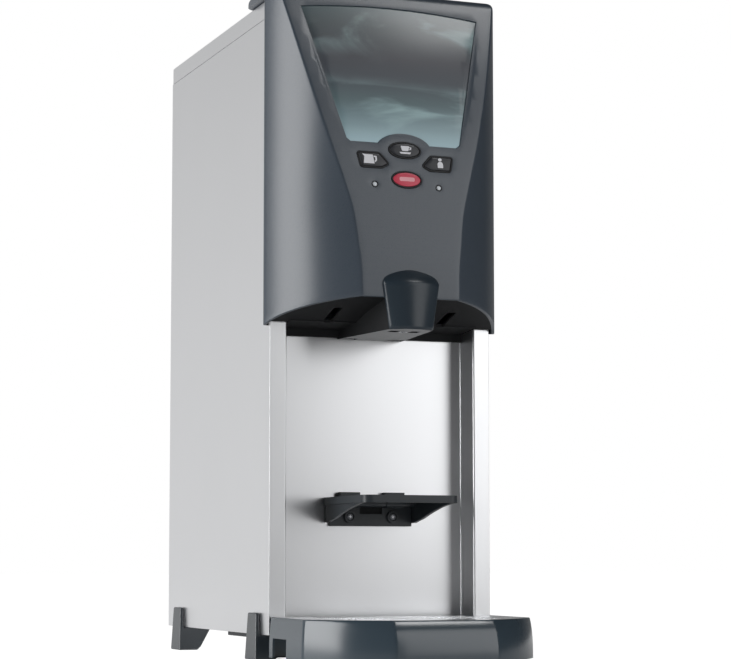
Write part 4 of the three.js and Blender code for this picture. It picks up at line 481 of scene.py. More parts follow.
class Skin:
    """Points and faces gathered for one piece, in the part's millimetres."""

    def __init__(self):
        self.points = []
        self.faces = []

    def grid(self, rows, closed=False):
        start, width = len(self.points), len(rows[0])
        for row in rows:
            self.points.extend(row)
        for r in range(len(rows) - 1):
            for c in range(width if closed else width - 1):
                a, b = start + r * width + c, start + r * width + (c + 1) % width
                self.faces.append((a, b, b + width, a + width))

    def face(self, loop):
        start = len(self.points)
        self.points.extend(loop)
        self.faces.append(tuple(range(start, start + len(loop))))

    def triangles(self, points, triangles):
        start = len(self.points)
        self.points.extend(points)
        self.faces.extend(tuple(start + i for i in t) for t in triangles)

    def build(self, name, finish_name, body, slot, replaced=(), sharp=SHARP_ANGLE):
        mesh = bpy.data.meshes.new(name)
        mesh.from_pydata([part_point(*p) for p in self.points], [], self.faces)
        shape = bmesh.new()
        shape.from_mesh(mesh)
        bmesh.ops.remove_doubles(shape, verts=shape.verts, dist=WELD)
        bmesh.ops.dissolve_degenerate(shape, edges=shape.edges, dist=SLIVER)
        bmesh.ops.recalc_face_normals(shape, faces=shape.faces)
        shape.to_mesh(mesh)
        shape.free()
        place(name, mesh, finish_name, body, slot, replaced, sharp)


def place(name, mesh, finish_name, body, slot, replaced, sharp=SHARP_ANGLE):
    mesh.materials.clear()
    mesh.materials.append(FINISHES[finish_name])
    mesh.polygons.foreach_set("use_smooth", [True] * len(mesh.polygons))
    mesh.set_sharp_from_angle(angle=math.radians(sharp))
    piece = bpy.data.objects.new(name, mesh)
    bpy.context.scene.collection.objects.link(piece)
    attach(piece, body)
    if replaced:
        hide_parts(*replaced)
    return piece


def dress(node, finish_name, slot=None, bevel=0.5, segments=2):
    """A rigid node again with eased edges."""
    source = frame["nodes"][node]
    shape = bmesh.new()
    shape.from_mesh(source.data)
    bmesh.ops.remove_doubles(shape, verts=shape.verts, dist=WELD)
    flat = math.radians(FLAT_ANGLE)
    bmesh.ops.dissolve_limit(shape, angle_limit=flat, verts=shape.verts, edges=shape.edges)
    mesh = bpy.data.meshes.new(node + "_finished")
    shape.to_mesh(mesh)
    shape.free()
    body = body_of(source)[0]
    piece = place(node + "_finished", mesh, finish_name, body, slot or finish_name, [node])
    ease = piece.modifiers.new("eased_edges", "BEVEL")
    ease.width = bevel * MM
    ease.segments = segments
    ease.limit_method = "ANGLE"
    ease.angle_limit = math.radians(BEVEL_ANGLE)
    piece.modifiers.new("even_normals", "WEIGHTED_NORMAL").keep_sharp = True
    return piece


def paint(node, finish_name):
    slots = frame["nodes"][node].data.materials
    slots.clear()
    slots.append(FINISHES[finish_name])


def along(shares, at):
    """A smooth curve through pairs of shares."""
    last = len(shares) - 1
    bounded = min(max(at, 0), 1)
    i = min(max(k for k, (start, _) in enumerate(shares) if start <= bounded), last - 1)

    def slope(k):
        (x0, y0), (x1, y1) = shares[max(k - 1, 0)], shares[min(k + 1, last)]
        return (y1 - y0) / (x1 - x0)

    (xa, ya), (xb, yb) = shares[i], shares[i + 1]
    run = xb - xa
    s = (bounded - xa) / run
    ease = s * s * (3 - 2 * s)
    pull = slope(i) * s * (1 - s) ** 2 - slope(i + 1) * s * s * (1 - s)
    return ya + (yb - ya) * ease + run * pull


def quarter(steps, first=0):
    """Sines and cosines of even steps through a quarter turn."""
    turns = [math.pi / 2 * i / steps for i in range(first, steps + 1)]
    return [(math.sin(turn), math.cos(turn)) for turn in turns]


def ellipse(half_width, half_height, center, sides=48):
    made = []
    for i in range(sides):
        turn = 2 * math.pi * i / sides
        x, y = half_width * math.cos(turn), half_height * math.sin(turn)
        made.append((center[0] + x, center[1] + y))
    return made


def curve(start, knee, end, steps):
    """A bend that leaves its start towards the knee and reaches its end from there."""
    made = []
    for i in range(steps + 1):
        s = i / steps
        spot = Vector(start) * (1 - s) ** 2 + Vector(knee) * 2 * s * (1 - s) + Vector(end) * s * s
        made.append((spot.x, spot.y))
    return made


def rounded(outline, radius, steps):
    """Corners rounded off by short curves that start a radius away from the corner."""
    made = []
    for i, corner in enumerate(outline):
        here = Vector(corner)
        start = here + (Vector(outline[i - 1]) - here).normalized() * radius
        end = here + (Vector(outline[(i + 1) % len(outline)]) - here).normalized() * radius
        made.extend(curve(start, here, end, steps))
    return made


def sides_of(outline):
    return zip(outline, outline[1:] + outline[:1])


def area(outline):
    return sum(a[0] * b[1] - b[0] * a[1] for a, b in sides_of(outline)) / 2


def offset(outline, distance):
    """An outline moved outwards by a distance, or inwards where it is negative."""
    way = 1 if area(outline) > 0 else -1
    made = []
    for i, corner in enumerate(outline):
        here = Vector(corner)
        into = (here - Vector(outline[i - 1])).normalized()
        out = (Vector(outline[(i + 1) % len(outline)]) - here).normalized()
        normal = Vector((into.y + out.y, -into.x - out.x)).normalized()
        stretch = max(normal.x * into.y - normal.y * into.x, MITRE_LIMIT)
        x, y = (part * distance * way / stretch for part in normal)
        made.append((here.x + x, here.y + y))
    return made


def inside(point, outline):
    x, y = point
    found = False
    for (x0, y0), (x1, y1) in sides_of(outline):
        if (y0 > y) != (y1 > y) and x < x0 + (x1 - x0) * (y - y0) / (y1 - y0):
            found = not found
    return found


def clearance(point, outline):
    """The distance from a point to an outline."""
    here, distances = Vector(point), []
    for a, b in sides_of(outline):
        near, share = intersect_point_line(here, Vector(a), Vector(b))
        near = Vector(a) if share < 0 else Vector(b) if share > 1 else near
        distances.append((Vector((near[0], near[1])) - here).length)
    return min(distances)


def filled(outer, holes, pitch):
    """Triangles over an outline with holes, with inner points on an even grid."""
    loops = [outer, *holes]
    points, edges = [], []
    for loop in loops:
        start = len(points)
        points.extend(loop)
        edges.extend((start + i, start + (i + 1) % len(loop)) for i in range(len(loop)))
    xs, ys = [p[0] for p in outer], [p[1] for p in outer]
    for row in range(int((max(ys) - min(ys)) / pitch)):
        for column in range(int((max(xs) - min(xs)) / pitch)):
            spot = (min(xs) + (column + 0.5) * pitch, min(ys) + (row + 0.5) * pitch)
            if not inside(spot, outer) or any(inside(spot, hole) for hole in holes):
                continue
            if min(clearance(spot, loop) for loop in loops) > pitch * POINT_MARGIN:
                points.append(spot)
    found = delaunay_2d_cdt([Vector(p) for p in points], edges, [], 0, CUT_SLACK)
    places, triangles = [tuple(p) for p in found[0]], []
    for triangle in found[2]:
        middle = [sum(places[i][axis] for i in triangle) / 3 for axis in (0, 1)]
        if inside(middle, outer) and not any(inside(middle, hole) for hole in holes):
            triangles.append(tuple(triangle))
    return places, triangles


# Hood.


def facet_reach(z):
    rise = max(z - HOOD_ARCH, 0) / RISE_TOP
    return FACET_REACH_BOTTOM - (FACET_REACH_BOTTOM - FACET_REACH_TOP) * rise**FACET_BEND_POWER


def facet_half(z):
    rise = max(z - HOOD_ARCH, 0) / RISE_TOP
    return FACET_HALF_BOTTOM + (FACET_HALF_TOP - FACET_HALF_BOTTOM) * along(FACET_SHARES, rise)


def arch_height(reach, power=ARCH_POWER):
    return HOOD_BOTTOM + ARCH_RISE * min(max(reach, 0) / FACET_REACH_BOTTOM, 1) ** power


def side_profile(z, inset=0.0):
    """One level of the hood's right half, from side to facet: points, each with its way out."""
    half, reach = HOOD_HALF - inset, facet_reach(z) - inset
    crease = facet_half(z) * half / HOOD_HALF
    chord, lean = math.hypot(half - crease, reach), math.atan2(half - crease, reach)
    bow = 2 * chord * math.tan((lean - math.radians(FLANK_ENTRY)) / 2)
    made = []
    for i in range(FLANK_STEPS + 1):
        s = (1 - FACET_ROUND / chord) * i / FLANK_STEPS
        swell, turn = bow * s * (1 - s), bow * (1 - 2 * s)
        x = half + (crease - half) * s + math.cos(lean) * swell
        y = -reach * s - math.sin(lean) * swell
        out = Vector((reach + math.sin(lean) * turn, crease - half + math.cos(lean) * turn))
        made.append(((x, y), out.normalized()))
    start, corner = Vector(made[-1][0]), Vector((crease, -reach))
    end = corner - Vector((FACET_ROUND, 0))
    for i, spot in enumerate(curve(start, corner, end, FACET_ROUND_STEPS)[1:], 1):
        s = i / FACET_ROUND_STEPS
        way = (corner - start) * (1 - s) + (end - corner) * s
        made.append((spot, Vector((-way.y, way.x)).normalized()))
    return made


def lower_edge(column):
    """Where a column of the hood meets the arched lower edge."""
    z = HOOD_ARCH
    for _ in range(EDGE_PASSES):
        z = arch_height(-side_profile(z)[column][0][1])
    return z


def rim_rows(edge, z_edge, out):
    """The rolled lower edge and the short inner wall above it, from the inside out."""
    levels = [(HOOD_WALL, z_edge + HOOD_LAP), (HOOD_WALL, z_edge)]
    for sine, cosine in reversed(quarter(ARC_STEPS, 1)):
        levels.append((EDGE_ROUND * (1 - cosine), z_edge + EDGE_ROUND * (1 - sine)))
    x, y = edge
    return [(x - out.x * back, y - out.y * back, z) for back, z in levels]


def opposite(rows):
    """Rows from the right side, on the left side."""
    return [[(-x, y, z) for x, y, z in row] for row in rows]


def mirrored_rows(rows):
    """Rows drawn from the right to the middle, continued to the left."""
    return [row + left[::-1] for row, left in zip(rows, opposite(rows))]


def mirrored_ring(right, z):
    """A level from the right side round its middle point to the left side."""
    return [(x, y, z) for x, y in right + [(-x, y) for x, y in reversed(right[:-1])]]


def hood_side_columns():
    """Columns of points up one side of the hood, from its rear edge to the facet."""
    columns = []
    for c in range(FLANK_STEPS + FACET_ROUND_STEPS + 1):
        z_edge = lower_edge(c)
        edge, out = side_profile(z_edge + EDGE_ROUND)[c]
        column = rim_rows(edge, z_edge, out)
        for r in range(HOOD_ROWS + 1):
            z = z_edge + EDGE_ROUND + (COWL_BOTTOM - z_edge - EDGE_ROUND) * r / HOOD_ROWS
            (x, y), _ = side_profile(z)[c]
            column.append((x, y, z))
        columns.append(column)
    side = columns[0]
    rear = []
    for sine, cosine in quarter(ARC_STEPS):
        x_back, y_back = EDGE_ROUND * (1 - sine), EDGE_ROUND * (1 - cosine)
        rear.append([(x - x_back, HOOD_WRAP - y_back, z) for x, _, z in side])
    lap = [(min(x, BODY_HALF + RIM_GAP), HOOD_WRAP, z) for x, _, z in side]
    return [lap, *rear, *columns]


def window_outline():
    """The window's arched top, its sloping sides and the notch round the cup button."""
    notch_height = KEYPAD_HEIGHT + OVAL_LIFT
    start = math.asin((WINDOW_BOTTOM - notch_height) / NOTCH_RISE)
    top, notch = [], []
    for i in range(WINDOW_STEPS + 1):
        across = 2 * i / WINDOW_STEPS - 1
        top.append((WINDOW_HALF_TOP * across, WINDOW_TOP + WINDOW_RISE * (1 - across * across)))
        turn = start + (math.pi - 2 * start) * i / WINDOW_STEPS
        notch.append((NOTCH_HALF * math.cos(turn), notch_height + NOTCH_RISE * math.sin(turn)))
    lean = (WINDOW_HALF_TOP - WINDOW_HALF_BOTTOM) / (WINDOW_TOP - WINDOW_BOTTOM) * WINDOW_CORNER
    right = [
        (WINDOW_HALF_BOTTOM + lean, WINDOW_BOTTOM + WINDOW_CORNER),
        (WINDOW_HALF_BOTTOM - WINDOW_CORNER, WINDOW_BOTTOM),
    ]
    left = [(-x, z) for x, z in reversed(right)]
    return top + right + notch + left


KEYPAD_RUN = facet_reach(KEYPAD_HEIGHT - HOOD_WALL) - facet_reach(KEYPAD_HEIGHT + HOOD_WALL)
KEYPAD_LEAN = KEYPAD_RUN / (2 * HOOD_WALL)
KEYPAD_UP = Vector((0, KEYPAD_LEAN, 1)).normalized()
KEYPAD_OUT = Vector((0, -1, KEYPAD_LEAN)).normalized()
KEYPAD_CENTER = Vector((0, -facet_reach(KEYPAD_HEIGHT), KEYPAD_HEIGHT))


def keypad_point(x, y, z):
    """A point from the keypad's own axes: x to the right, y up the facet, z out of it."""
    return tuple(KEYPAD_CENTER + Vector((x, 0, 0)) + KEYPAD_UP * y + KEYPAD_OUT * z)


def side_button_outline(way):
    return rounded([(way * x, y) for x, y in SIDE_BUTTON], SIDE_BUTTON_CORNER, ROUND_STEPS)


BUTTON_OUTLINES = {
    "jug_button": side_button_outline(-1),
    "cup_button": ellipse(*CUP_HALF, (0, OVAL_LIFT)),
    "flask_button": side_button_outline(1),
    "stop_button": ellipse(*STOP_HALF, (0, -STOP_DROP)),
}


def facet_holes():
    """Outlines in x and z where the facet is open."""
    holes = [window_outline()]
    for outline in BUTTON_OUTLINES.values():
        grown = offset(outline, RIM_GAP + RIM_WIDTH)
        holes.append([(x, KEYPAD_HEIGHT + y * KEYPAD_UP.z) for x, y in grown])
    for way in (-1, 1):
        center = (way * LENS_X, KEYPAD_HEIGHT - LENS_DROP * KEYPAD_UP.z)
        holes.append(ellipse(LENS_RADIUS + RIM_GAP, LENS_RADIUS + RIM_GAP, center, LENS_HOLE_SIDES))
    return holes


def facet_point(x, z, depth=0.0):
    return (x, -facet_reach(z) + depth, z)


def hood():
    skin = Skin()
    right = hood_side_columns()
    skin.grid(right)
    skin.grid(opposite(right))
    edge = [(x, z) for x, _, z in right[-1][ARC_STEPS + 2:]]
    top_edge = side_profile(ROUND_START)[-1][0][0]
    x_low, z_low = edge[0]
    shares = [1 - 2 * i / FACET_STEPS for i in range(FACET_STEPS + 1)]
    low = [(x_low * share, z_low) for share in shares[1:-1]]
    high = [(-top_edge * share, ROUND_START) for share in shares]
    outer = [(x, z) for x, z in reversed(edge)] + low + [(-x, z) for x, z in edge] + high
    holes = facet_holes()
    open_holes = [offset(hole, EDGE_ROUND / 2) for hole in holes]
    spots, triangles = filled(outer, open_holes, FACET_PITCH)
    skin.triangles([facet_point(x, z) for x, z in spots], triangles)
    for hole in holes:
        rows = []
        for sine, cosine in quarter(ARC_STEPS):
            ring = offset(hole, EDGE_ROUND / 2 * (1 - sine))
            rows.append([facet_point(x, z, EDGE_ROUND / 2 * (1 - cosine)) for x, z in ring])
        rows.append([facet_point(x, z, HOOD_WALL) for x, z in hole])
        skin.grid(rows, closed=True)
    rims = []
    for share in shares:
        spot = (x_low * share, -facet_reach(z_low))
        rim = rim_rows(spot, z_low - EDGE_ROUND, Vector((0, -1)))
        rims.append([*rim, facet_point(x_low * share, z_low)])
    skin.grid(rims)
    hood_crown(skin)
    skin.build("hood_shell_finished", "hood_plastic", "cabinet", "hood_plastic", ["hood_shell"])


def crown_ring(z, inset):
    """One level of the crown: the right side from the middle of the rear round to the facet."""
    half, back = HOOD_HALF - inset, COWL_DEPTH - inset
    rear = [(0, back), (half / 2, back)]
    for sine, cosine in reversed(quarter(ROUND_STEPS)):
        rear.append((half - COWL_CORNER * (1 - cosine), back - COWL_CORNER * (1 - sine)))
    front = [point for point, _ in side_profile(z, inset)]
    edge, y = front[-1]
    facet = [(edge * (1 - 2 * i / FACET_STEPS), y) for i in range(1, FACET_STEPS // 2 + 1)]
    return [(x, y, z) for x, y in [*rear, (half, HOOD_WRAP), *front, *facet]]


def hood_crown(skin):
    """The rounded top edge, the flat top and the cowl that reaches back over the lid."""
    levels = [(COWL_BOTTOM, 0.0), (ROUND_START, 0.0)]
    for sine, cosine in quarter(ROUND_STEPS, 1):
        inset = HOOD_ROUND * ROUND_SHARE * (1 - cosine)
        levels.append((HOOD_TOP - HOOD_ROUND * (1 - sine), inset))
    rings = [crown_ring(z, inset) for z, inset in levels]
    band = [ring[:-(FACET_STEPS // 2)] for ring in rings[:2]]
    skin.grid(band)
    skin.grid(opposite(band))
    skin.grid(mirrored_rows(rings[1:]))
    top = rings[-1]
    skin.face(top + [(-x, y, z) for x, y, z in reversed(top[1:-1])])
    rear = [p for p in band[0] if p[1] >= HOOD_WRAP]
    x_most, y_most = BODY_HALF - HOOD_WALL, COWL_DEPTH - COWL_CORNER
    inner = [(min(x, x_most), min(y, y_most), z) for x, y, z in rear]
    skin.grid(mirrored_rows([rear[::-1], inner[::-1]]))


# Window, keypad and lamps.


def display():
    outline = offset(window_outline(), -RIM_GAP)
    spots, triangles = filled(outline, [], PANE_PITCH)
    skin = Skin()
    skin.triangles([facet_point(x, z, WINDOW_INSET) for x, z in spots], triangles)
    edges = [[facet_point(x, z, depth) for x, z in outline] for depth in (WINDOW_INSET, HOOD_WALL)]
    skin.grid(edges, closed=True)
    skin.build("display_pane", "display", "cabinet", "window", ["display_window"])


def ring_rows(outline, levels):
    """Rows of points from pairs of offset and height, in the keypad's axes."""
    return [[keypad_point(x, y, z) for x, y in offset(outline, grow)] for grow, z in levels]


def button_rims():
    inner, outer = RIM_GAP, RIM_GAP + RIM_WIDTH - RIM_TRIM
    part = RIM_SOFT * RIM_SOFT_SHARE
    levels = [
        (outer, -WELL_DEPTH), (outer, RIM_PROUD - RIM_SOFT), (outer - part, RIM_PROUD - part),
        (outer - RIM_SOFT, RIM_PROUD), (inner + RIM_SOFT, RIM_PROUD),
        (inner + part, RIM_PROUD - part), (inner, RIM_PROUD - RIM_SOFT), (inner, -WELL_DEPTH),
    ]
    skin = Skin()
    for outline in BUTTON_OUTLINES.values():
        skin.grid(ring_rows(outline, levels), closed=True)
    skin.build("button_rims", "rim_black", "cabinet", "rim_black", ["keypad_frame"], sharp=60)


def crown_height(x, y, center, half):
    """The height of a button's slightly domed face."""
    across, up = (x - center[0]) / half[0], (y - center[1]) / half[1]
    dome = (max(1 - across * across, 0) * max(1 - up * up, 0)) ** 0.5
    return BUTTON_PROUD + BUTTON_CROWN * dome - BUTTON_CROWN / 2


def button_frame(outline):
    """The middle and the half sizes of a button's outline."""
    xs, ys = [p[0] for p in outline], [p[1] for p in outline]
    center = ((min(xs) + max(xs)) / 2, (min(ys) + max(ys)) / 2)
    return center, ((max(xs) - min(xs)) / 2, (max(ys) - min(ys)) / 2)


def button(name, finish_name):
    outline = BUTTON_OUTLINES[name]
    center, half = button_frame(outline)
    skin = Skin()
    edge = BUTTON_PROUD - BUTTON_CROWN / 2
    levels = [(0, -WELL_DEPTH), (0, edge - BUTTON_ROUND)]
    for sine, cosine in quarter(ARC_STEPS, 1):
        levels.append((-BUTTON_ROUND * (1 - cosine), edge - BUTTON_ROUND * (1 - sine)))
    skin.grid(ring_rows(outline, levels), closed=True)
    face = offset(outline, -BUTTON_ROUND)
    spots, triangles = filled(face, [], BUTTON_PITCH)
    crowned = []
    for x, y in spots:
        flat = clearance((x, y), face) < ON_EDGE
        crowned.append(keypad_point(x, y, edge if flat else crown_height(x, y, center, half)))
    skin.triangles(crowned, triangles)
    skin.build(name + "_cap", finish_name, name, finish_name, [name], sharp=50)


def printed(name, body, outlines, finish_name):
    """A thin printed sign that follows the button's crown."""
    center, half = button_frame(BUTTON_OUTLINES[body])

    def lifted(points, lift):
        return [keypad_point(x, y, crown_height(x, y, center, half) + lift) for x, y in points]

    skin = Skin()
    for outline in outlines:
        spots, triangles = filled(outline, [], PRINT_PITCH)
        skin.triangles(lifted(spots, PRINT_LIFT), triangles)
        skin.grid([lifted(outline, lift) for lift in (PRINT_LIFT, -PRINT_LIFT)], closed=True)
    skin.build(name, finish_name, body, "lamp")


def shifted(outlines, x, y):
    return [[(px + x, py + y) for px, py in outline] for outline in outlines]


def keypad():
    button_rims()
    for name in ("jug_button", "cup_button", "flask_button"):
        button(name, "button_black")
    button("stop_button", "button_red")
    jug = [(-6.2, -4.6), (5.0, -4.6), (3.6, 4.6), (-4.0, 4.6), (-7.4, 5.2), (-5.4, 2.6)]
    grip = [
        (4.6, 3.6), (7.6, 3.2), (7.8, -0.8), (6.2, -3.0), (4.9, -2.2), (6.2, -0.4), (6.0, 1.9),
        (4.3, 2.2),
    ]
    signs = shifted([rounded(jug, 0.5, 3), grip], *JUG_SIGN_SPOT)
    printed("jug_sign", "jug_button", signs, "print_white")
    cup = rounded([(-4.6, 4.2), (4.6, 4.2), (3.4, -1.0), (-3.4, -1.0)], 1.0, 4)
    handle = [
        (4.4, 3.2), (6.6, 3.0), (6.4, 0.6), (4.0, 0.0), (4.2, 0.9), (5.4, 1.2), (5.5, 2.2),
        (4.3, 2.4),
    ]
    saucer = rounded([(-6.2, -2.2), (6.2, -2.2), (5.0, -4.0), (-5.0, -4.0)], 0.5, 3)
    signs = shifted([cup, handle, saucer], 0, OVAL_LIFT)
    printed("cup_sign", "cup_button", signs, "print_white")
    stopper = ellipse(1.9, 1.7, (0, 4.0), 20)
    flask = [(-1.5, 1.8), (1.5, 1.8), (2.9, -0.2), (2.9, -4.6), (-2.9, -4.6), (-2.9, -0.2)]
    signs = shifted([stopper, rounded(flask, 0.7, 3)], *FLASK_SIGN_SPOT)
    printed("flask_sign", "flask_button", signs, "print_white")
    bar = rounded([(-8.0, -2.1), (8.0, -2.1), (8.0, 2.1), (-8.0, 2.1)], 1.9, 5)
    printed("stop_sign", "stop_button", shifted([bar], 0, -STOP_DROP), "print_rose")


def lenses():
    for side, way in (("left", -1), ("right", 1)):

        def circle(radius):
            return ellipse(radius, radius, (way * LENS_X, -LENS_DROP), LENS_SIDES)

        rows = [[keypad_point(x, y, -LENS_ROOT) for x, y in circle(LENS_RADIUS)]]
        for sine, cosine in quarter(LENS_STEPS):
            height = LENS_RISE * sine - LENS_SINK
            ring = circle(LENS_RADIUS * cosine + LENS_TIP)
            rows.append([keypad_point(x, y, height) for x, y in ring])
        skin = Skin()
        skin.grid(rows, closed=True)
        node = "indicator_lens_" + side
        skin.build(node + "_lit", "lamp", "cabinet", "lamp", [node])
        skin = Skin()
        skin.grid(ring_rows(circle(LENS_RADIUS), LENS_RING), closed=True)
        skin.build("lamp_ring_" + side, "rim_black", "cabinet", "rim_black")


# Spout nose.


def nose_ring(z, half, reach, bulge, root=NOSE_SEAT):
    """One level of the nose from its right root round the front to the left root."""
    corner = min(NOSE_CORNER, half / 2, (reach - root) / 3)

    def front(x):
        return -(reach - bulge * (x / half) ** 2)

    start, end = (half, front(half) + corner), (half - corner, front(half - corner))
    right = [(half - EDGE_ROUND / 2, -root), (half, -root - EDGE_ROUND / 2)]
    right.extend(curve(start, (half, front(half)), end, NOSE_CORNER_STEPS))
    for i in range(1, NOSE_FRONT_STEPS + 1):
        x = (half - corner) * (1 - i / NOSE_FRONT_STEPS)
        right.append((x, front(x)))
    return mirrored_ring(right, z)


def nose():
    skin = Skin()
    rows = []
    for i in range(NOSE_ROWS + 1):
        share = i / NOSE_ROWS
        z = NOSE_BOTTOM + (NOSE_SHOULDER - NOSE_BOTTOM) * share
        half = NOSE_HALF_BOTTOM + (NOSE_HALF_TOP - NOSE_HALF_BOTTOM) * share
        root = NOSE_REAR if z < HOOD_ARCH else NOSE_SEAT
        rows.append(nose_ring(z, half, NOSE_REACH, NOSE_BULGE, root))
    for i in range(1, NOSE_DOME_ROWS + 1):
        turn = math.pi / 2 * i / (NOSE_DOME_ROWS + NOSE_DOME_CUT)
        reach = NOSE_REACH - (NOSE_REACH - NOSE_DOME_REACH) * math.sin(turn) ** NOSE_EASE
        shrink = math.cos(turn)
        z = NOSE_SHOULDER + NOSE_DOME * math.sin(turn)
        rows.append(nose_ring(z, NOSE_HALF_TOP * shrink**NOSE_ROUND, reach, NOSE_BULGE * shrink))
    rings = []
    for inset in (NOSE_WALL, NOSE_LIP):
        half, reach = NOSE_HALF_BOTTOM - inset, NOSE_REACH - inset
        rings.append(nose_ring(NOSE_BOTTOM, half, reach, NOSE_BULGE, NOSE_REAR))
    rows[0] = [(x, y, z + NOSE_LIP) for x, y, z in rows[0]]
    skin.grid([[(x, y, z + NOSE_HOLLOW) for x, y, z in rings[0]], *rings, *rows])
    # The nose takes the darker copy of the hood's plastic, painted shade.
    skin.build(
        "spout_nose_finished", "spout_plastic", "cabinet", "hood_plastic", ["spout_nose"], sharp=50)


# Casing, tray and fittings.


def fold(piece, node, inner):
    """The sheet's bend where the front flange turns into the recess."""
    shape = bmesh.new()
    shape.from_mesh(piece.data)
    front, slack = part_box(node)[0].y, FOLD_SLACK * MM
    bend = [e for e in shape.edges if all(
        abs(v.co.x - inner) < slack and abs(v.co.y - front) < slack for v in e.verts)]
    bmesh.ops.bevel(
        shape, geom=bend, offset=FOLD_RADIUS * MM, segments=FOLD_STEPS, affect="EDGES", profile=0.5)
    shape.to_mesh(piece.data)
    shape.free()
    piece.data.polygons.foreach_set("use_smooth", [True] * len(piece.data.polygons))


def panel_bend(way, inner):
    """The hollow corner between the splash panel and the wall of the recess."""
    back = (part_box("front_panel")[0].y - FLANGE_Y) / MM
    rows = []
    for sine, cosine in quarter(FOLD_STEPS):
        x = way * (inner / MM - CORNER_RADIUS * (1 - sine))
        y = back - CORNER_RADIUS * (1 - cosine)
        rows.append([(x, y, z) for z in (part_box("front_panel")[0].z / MM, HOOD_BOTTOM)])
    skin = Skin()
    skin.grid(rows)
    side = "right" if way > 0 else "left"
    skin.build("recess_corner_" + side, "splash_steel", "cabinet", "splash_steel")


def casing():
    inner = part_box("right_side_panel")[0].x
    for node in ("left_side_panel", "right_side_panel", "top_lid", "rear_panel"):
        piece = dress(node, "cabinet_steel", bevel=0.3)
        if "side" in node:
            fold(piece, node, inner if "right" in node else -inner)
    for way in (-1, 1):
        panel_bend(way, inner)
    dress("front_panel", "splash_steel", bevel=0.4)
    dress("base_plate", "cabinet_steel", bevel=0.4)
    for foot in ("front_left", "front_right", "rear_left", "rear_right"):
        dress("foot_" + foot, "foot_plastic", bevel=1.4, segments=4)


def tray_ring(z, grow):
    """One level of the tray, from the right rear round its front to the left rear."""
    swell = 1 - (max(z - TRAY_BOTTOM, 0) / (TRAY_TOP - TRAY_BOTTOM)) ** TRAY_SWELL_POWER
    out = TRAY_FLARE * swell + grow
    side, corner = TRAY_HALF + out, TRAY_CORNER + out
    facet, front = TRAY_FACET_HALF + out / 2, TRAY_REACH + TRAY_SLOPE * swell + out
    knee = ((side + facet) / 2 + TRAY_BULGE, -(corner + front) / 2 - TRAY_BULGE)
    flank = curve((side, -corner), knee, (facet, -front), TRAY_STEPS)[:-1]
    flank = [p for p in flank if math.dist(p, (facet, -front)) > TRAY_CREASE]
    near = facet - TRAY_CREASE
    crease = curve(flank[-1], (facet, -front), (near, -front), CREASE_STEPS)[1:]
    shares = [1 - i / TRAY_FRONT_STEPS for i in range(1, TRAY_FRONT_STEPS + 1)]
    middle = [(near * share, -front) for share in shares]
    straight = [(side, -y) for y in (TRAY_REAR, *TRAY_WINDOW_SPAN, corner - TRAY_SIDE_END)]
    return mirrored_ring(straight + flank + crease + middle, z)


def tray_skin():
    """The tray's smooth outer wall and rolled rim, open where the side windows are."""
    low, high = TRAY_BOTTOM, TRAY_TOP - TRAY_EDGE
    even = [low + (high - low) * i / TRAY_ROWS for i in range(TRAY_ROWS + 1)]
    levels = sorted({TRAY_WINDOW_TOP, *even})
    rows = [tray_ring(low, -TRAY_WALL)] + [tray_ring(z, TRAY_SKIN) for z in levels]
    for sine, cosine in quarter(ARC_STEPS, 1):
        z, grow = high + (TRAY_EDGE + TRAY_SKIN) * sine, TRAY_SKIN - TRAY_EDGE * (1 - cosine)
        rows.append(tray_ring(z, grow))
    inner = tray_ring(TRAY_TOP, -TRAY_WALL)
    rows.append([(x, y, TRAY_TOP + TRAY_SKIN) for x, y, _ in inner])
    rows.append([(x, y, TRAY_TOP - TRAY_EDGE) for x, y, _ in inner])
    skin = Skin()
    skin.grid(rows)
    width = len(rows[0])
    window_rows = 1 + sum(z < TRAY_WINDOW_TOP for z in levels)
    closed = {(r, c) for r in range(1, window_rows) for c in (1, width - 3)}
    skin.faces = [f for f in skin.faces if (f[0] // width, f[0] % width) not in closed]
    skin.build("drip_tray_skin", "tray_plastic", "drip_tray", "tray_plastic", sharp=50)


def screw_painted_glint(node):
    """Bright steel bars in the shape of the cross slot on a screw's head, a painted glint."""
    low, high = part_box(node)
    x, z = (low.x + high.x) / 2 / MM, (low.z + high.z) / 2 / MM
    front = (low.y - FLANGE_Y) / MM - CROSS_PROUD
    skin = Skin()
    for wide, tall in ((CROSS_LONG, CROSS_THICK), (CROSS_THICK, CROSS_LONG)):
        corners = [(-wide, -tall), (wide, -tall), (wide, tall), (-wide, tall)]
        depths = (front, front + CROSS_DEPTH)
        rings = [[(x + across, y, z + up) for across, up in corners] for y in depths]
        skin.face(rings[0])
        skin.grid(rings, closed=True)
    skin.build(node + "_cross", "bright_steel", "cabinet", "bright_steel")


def underside():
    """The cover under the hood, with its arch at the shell's edge, near black as painted shade, and
    the arm's lower faces lighter as a painted reflection.
    """
    under = dress("hood_underside", "under_black", "dark_plastic", bevel=0.6)
    under.data.materials.append(FINISHES["arm_plastic"])
    for point in under.data.vertices:
        reach = (FLANGE_Y - point.co.y) / MM
        solid = arch_height(reach, ARCH_SOLID_POWER)
        if point.co.z / MM > solid - ARCH_SLACK:
            point.co.z += (arch_height(reach) - solid) * MM
    # Lower faces of the arm get the lighter painted reflection; the rest keeps the painted shade.
    for side in under.data.polygons:
        if side.center.z < ARM_LEVEL * MM and side.normal.z < ARM_FACING:
            side.material_index = 1


